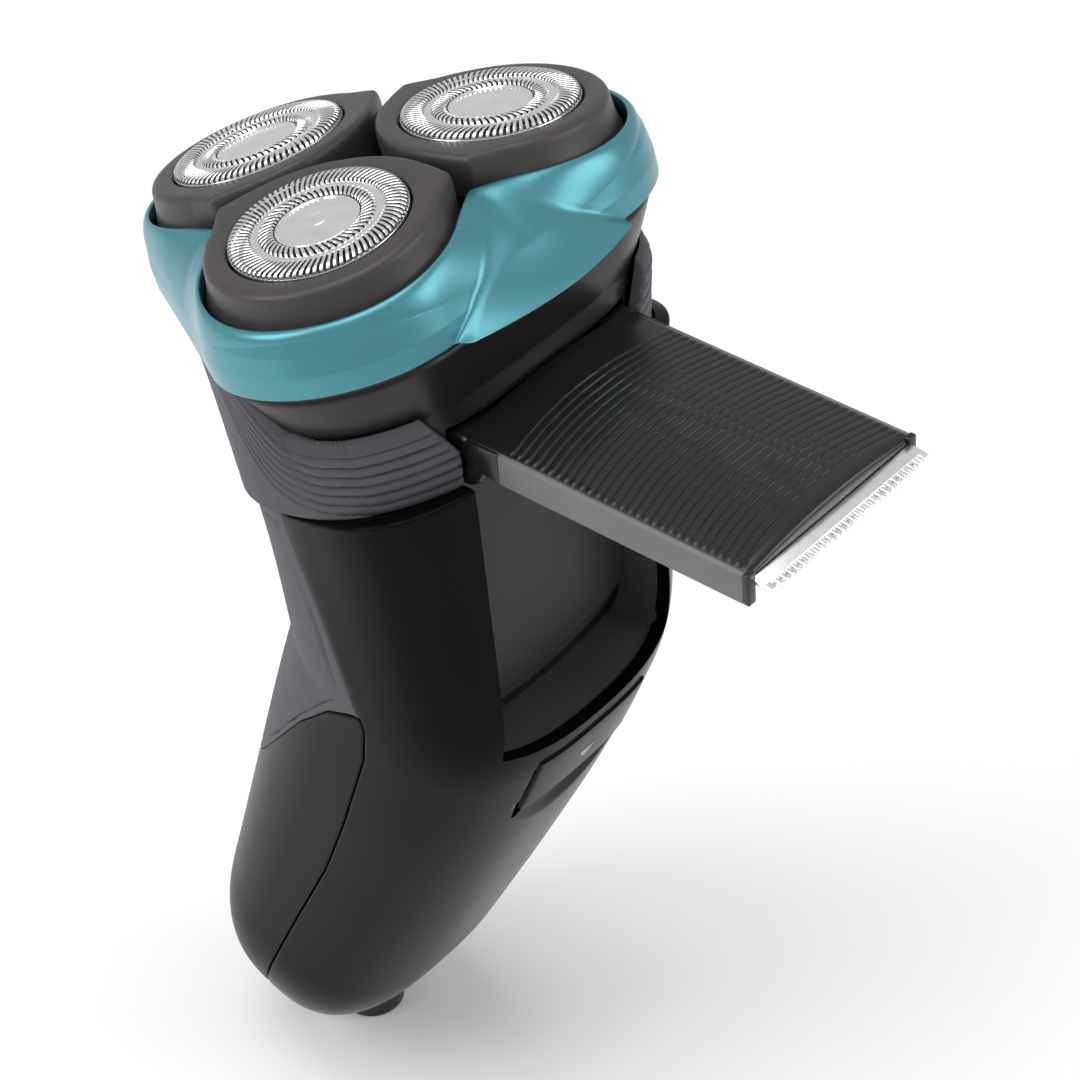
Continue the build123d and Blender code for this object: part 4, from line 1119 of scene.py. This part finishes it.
def make_cover():
    """Crowned cover with bowed grooves; plain near the hinge, scalloped along both sides."""
    half, end, start = COVER_HALF, COVER_END, HINGE_Y + 0.6
    y = np.linspace(start, end, int((end - start) / 0.085) + 1)
    x = np.concatenate([COVER_EDGE - half, np.linspace(-half + 2.0, half - 2.0, 45), half - COVER_EDGE[::-1]])
    gx, gy = np.meshgrid(x, y)
    arch = 1 - (gx / half) ** 2
    phase = (end - 1.6 - gy - 1.6 * arch) / COVER_PITCH
    nearest = np.round(phase)
    ribbed = (nearest >= 0) & (nearest < COVER_RIBS)
    groove = np.where(ribbed, np.exp(-((phase - nearest) * COVER_PITCH / 0.1) ** 2), 0.0)
    rim = np.clip((half - 0.75 - np.abs(gx)) / 0.3, 0, 1)
    scallop = np.where(ribbed, np.clip(np.cos(2 * math.pi * (phase - 0.5)) + 0.1, 0, 1), 0.0)
    strip = np.exp(-((np.abs(gx) - half + 0.95) / 0.3) ** 2)
    gz = TRIMMER_TOP - 0.3 + COVER_CROWN * arch - 0.2 * groove * rim + 0.1 * scallop * strip
    edge_roll = np.clip((np.abs(gx) - half + 0.55) / 0.55, 0, 1)
    gz -= 0.45 * (1 - np.sqrt(1 - edge_roll ** 2))
    end_roll = np.clip((gy - end + 1.5) / 1.5, 0, 1)
    gz -= 0.9 * (1 - np.sqrt(1 - 0.98 * end_roll ** 2))
    outer = np.stack([gx, gy, gz], -1)
    inner = np.stack([gx, gy, np.full(gx.shape, COVER_BASE)], -1)
    finish_piece(shell("trimmer_cover_ribbed", outer, inner, False, 60), "cover", "trimmer", "trimmer_cover")


def make_frame():
    """Flat sides with dark roots and end corners, cross members and hinge knuckles."""
    half, inside, end, low, top = TRIMMER_HALF, TRIMMER_HALF - WALL_THICK, COVER_END, TRIMMER_LOW, TRIMMER_TOP
    boxes = mirrored(inside, half, WALL_START, end - 0.5, low, WALL_TOP)
    walls = boxes_mesh("trimmer_frame_walls", boxes, bevel=0.35)
    finish_piece(walls, "side_grey", "trimmer", "trimmer_frame")
    boxes = mirrored(inside, half - 0.05, HINGE_Y + 1.0, WALL_START + 0.1, low + 0.2, WALL_TOP)
    boxes += [(-inside, inside, HINGE_Y + 2.5, end - 2.0, top - 1.6, COVER_BASE),
              (-inside, inside, HINGE_Y + 2.4, HINGE_Y + 4.2, low + 0.3, top - 1.6)]
    boxes += mirrored(inside, half, end - 0.6, end + 0.4, low + 0.1, top - 0.2)
    boxes += [(-inside, inside, end - 3.4, end - 2.0, low + 0.6, top - 1.6)]
    roots = boxes_mesh("trimmer_frame_root", boxes, bevel=0.25)
    finish_piece(roots, "cover", "trimmer")
    for sign in (1, -1):
        for k, (x0, x1) in enumerate(KNUCKLES):
            w = (x1 - x0) / 2

            def place(points, middle=sign * (x0 + x1) / 2):
                p = np.asarray(points, float)
                return np.stack([middle + p[..., 2], HINGE_Y + p[..., 0], HINGE_Z + p[..., 1]], -1)

            rounded = KNUCKLE_R - KNUCKLE_EDGE
            profile = [(PIN_HOLE_R, -w), (rounded, -w), (KNUCKLE_R, -w + KNUCKLE_EDGE),
                       (KNUCKLE_R, w - KNUCKLE_EDGE), (rounded, w), (PIN_HOLE_R, w)]
            name = "trimmer_knuckle_%d_%s" % (k, "r" if sign > 0 else "l")
            finish_piece(revolve_ring(name, profile, place, 72), "cover", "trimmer")


def comb_boxes(start, length, low, high, half, pitch, width):
    """A row of teeth across the trimmer."""
    out = []
    count = int(2 * half / pitch)
    for i in range(count + 1):
        x = (i - count / 2) * pitch
        out.append((x - width / 2, x + width / 2, start, start + length, low, high))
    return out


def make_comb():
    """Bright comb plate with fine teeth over a moving blade."""
    half, high, end = TRIMMER_HALF - 1.0, TRIMMER_TOP - 1.0, COVER_END
    pitch, plate, reach = 1.12, 2.05, 3.15
    boxes = [(-half, half, end - 1.4, end + plate, high - 0.7, high)]
    boxes += comb_boxes(end + plate - 0.1, reach - plate, high - 0.7, high - 0.12, half - 1.6, pitch, 0.52)
    boxes += mirrored(half - 1.1, half, end + plate - 0.1, end + reach - 0.1, high - 0.7, high)
    comb = boxes_mesh("trimmer_comb_teeth", boxes, tilt_comb, bevel=0.09)
    finish_piece(comb, "comb", "trimmer", "trimmer_comb")
    half -= 1.6
    high -= 1.05
    boxes = [(-half, half, end - 1.2, end + 1.3, high - 0.6, high)]
    boxes += comb_boxes(end + 1.2, 1.55, high - 0.6, high - 0.05, half - 0.6, pitch * 0.9, 0.5)
    blade = boxes_mesh("trimmer_blade_teeth", boxes, tilt_comb, bevel=0.07)
    finish_piece(blade, "comb", "trimmer_blade", "trimmer_cutter")


def tilt_comb(points):
    """Let the comb slope down past the cover's end."""
    p = np.array(points, float)
    p[..., 2] -= 0.2 * np.clip(p[..., 1] - COVER_END, 0, None)
    return p


# --- Parts kept from the CAD frame ---
def dress_cad():
    finishes = {
        "indicator_lens": "lens", "charge_boss": "boss", "charge_contacts": "brass",
        "battery_cell": "cell", "cell_cradle": "cradle", "circuit_board": "board", "tact_switch": "dark",
        "power_button": "satin_black", "gear_deck": "dark", "gear_case": "dark", "motor_can": "motor",
        "motor_cap": "dark", "rotor_shaft": "pin", "motor_pinion": "nylon", "head_frame": "dark",
        "hinge_pin": "pin",
    }
    for number in (1, 2, 3):
        finishes["drive_gear_%d" % number] = "nylon"
        finishes["cutter_%d" % number] = "cutter"
    for node, mat in finishes.items():
        dress(node, mat)


# --- Stage ---
def make_camera():
    """Camera looking down at the back and one side."""
    data = bpy.data.cameras.new("camera")
    data.lens = 119.13
    data.sensor_width = 36.0
    data.clip_start = 0.01
    cam = bpy.data.objects.new("camera", data)
    x = Vector((-0.64637, 0.76060, -0.06080))
    y = Vector((-0.51913, -0.37997, 0.76559))
    z = Vector((0.55921, 0.52642, 0.64044))
    turn = Matrix((x, y, z)).transposed().to_4x4()
    turn.translation = Vector((0.26737, 0.29644, 0.42443))
    cam.matrix_world = turn
    bpy.context.scene.collection.objects.link(cam)
    bpy.context.scene.camera = cam


def area(name, place, target, size, power):
    data = bpy.data.lights.new(name, "AREA")
    data.shape = "RECTANGLE"
    data.size, data.size_y = size
    data.energy = power
    lamp = bpy.data.objects.new(name, data)
    lamp.location = place
    direction = Vector(target) - Vector(place)
    lamp.rotation_euler = direction.to_track_quat("-Z", "Y").to_euler()
    bpy.context.scene.collection.objects.link(lamp)


def make_stage():
    """Pale floor, white surroundings and soft lights."""
    far, white = 4.0 / MM, (0.93, 0.93, 0.93)
    corners = [(-far, -far, 0), (far, -far, 0), (far, far, 0), (-far, far, 0)]
    floor = add_mesh("floor", corners, [(0, 1, 2, 3)])
    mat, nodes, links, bsdf, coords = shader("floor_white", white, 0.9, spec=0.1)
    vary_colour(nodes, links, bsdf, noise(nodes, links, coords, 3.0), white, 0.005)
    floor.data.materials.append(mat)
    world = bpy.data.worlds.new("world")
    world.use_nodes = True
    world.node_tree.nodes["Background"].inputs["Color"].default_value = (1, 1, 1, 1)
    world.node_tree.nodes["Background"].inputs["Strength"].default_value = 0.62
    bpy.context.scene.world = world
    area("key", (0.62, -0.30, 0.62), (0, 0.02, 0.1), (0.45, 0.6), 3.2)
    area("back_soft", (-0.45, 0.75, 0.45), (0, 0.03, 0.12), (0.5, 0.4), 2.2)
    area("top_soft", (0.05, 0.0, 0.9), (0, 0.02, 0.15), (0.6, 0.6), 3.0)
    bpy.context.scene.view_settings.view_transform = "Standard"


make_handle()
make_bay()
make_slider()
make_collar()
make_cup()
make_ring()
for unit, unit_angle in enumerate(FOIL_ANGLES, start=1):
    make_pod(unit, unit_angle)
    make_foil(unit, unit_angle)
make_cover()
make_frame()
make_comb()
dress_cad()
make_camera()
make_stage()
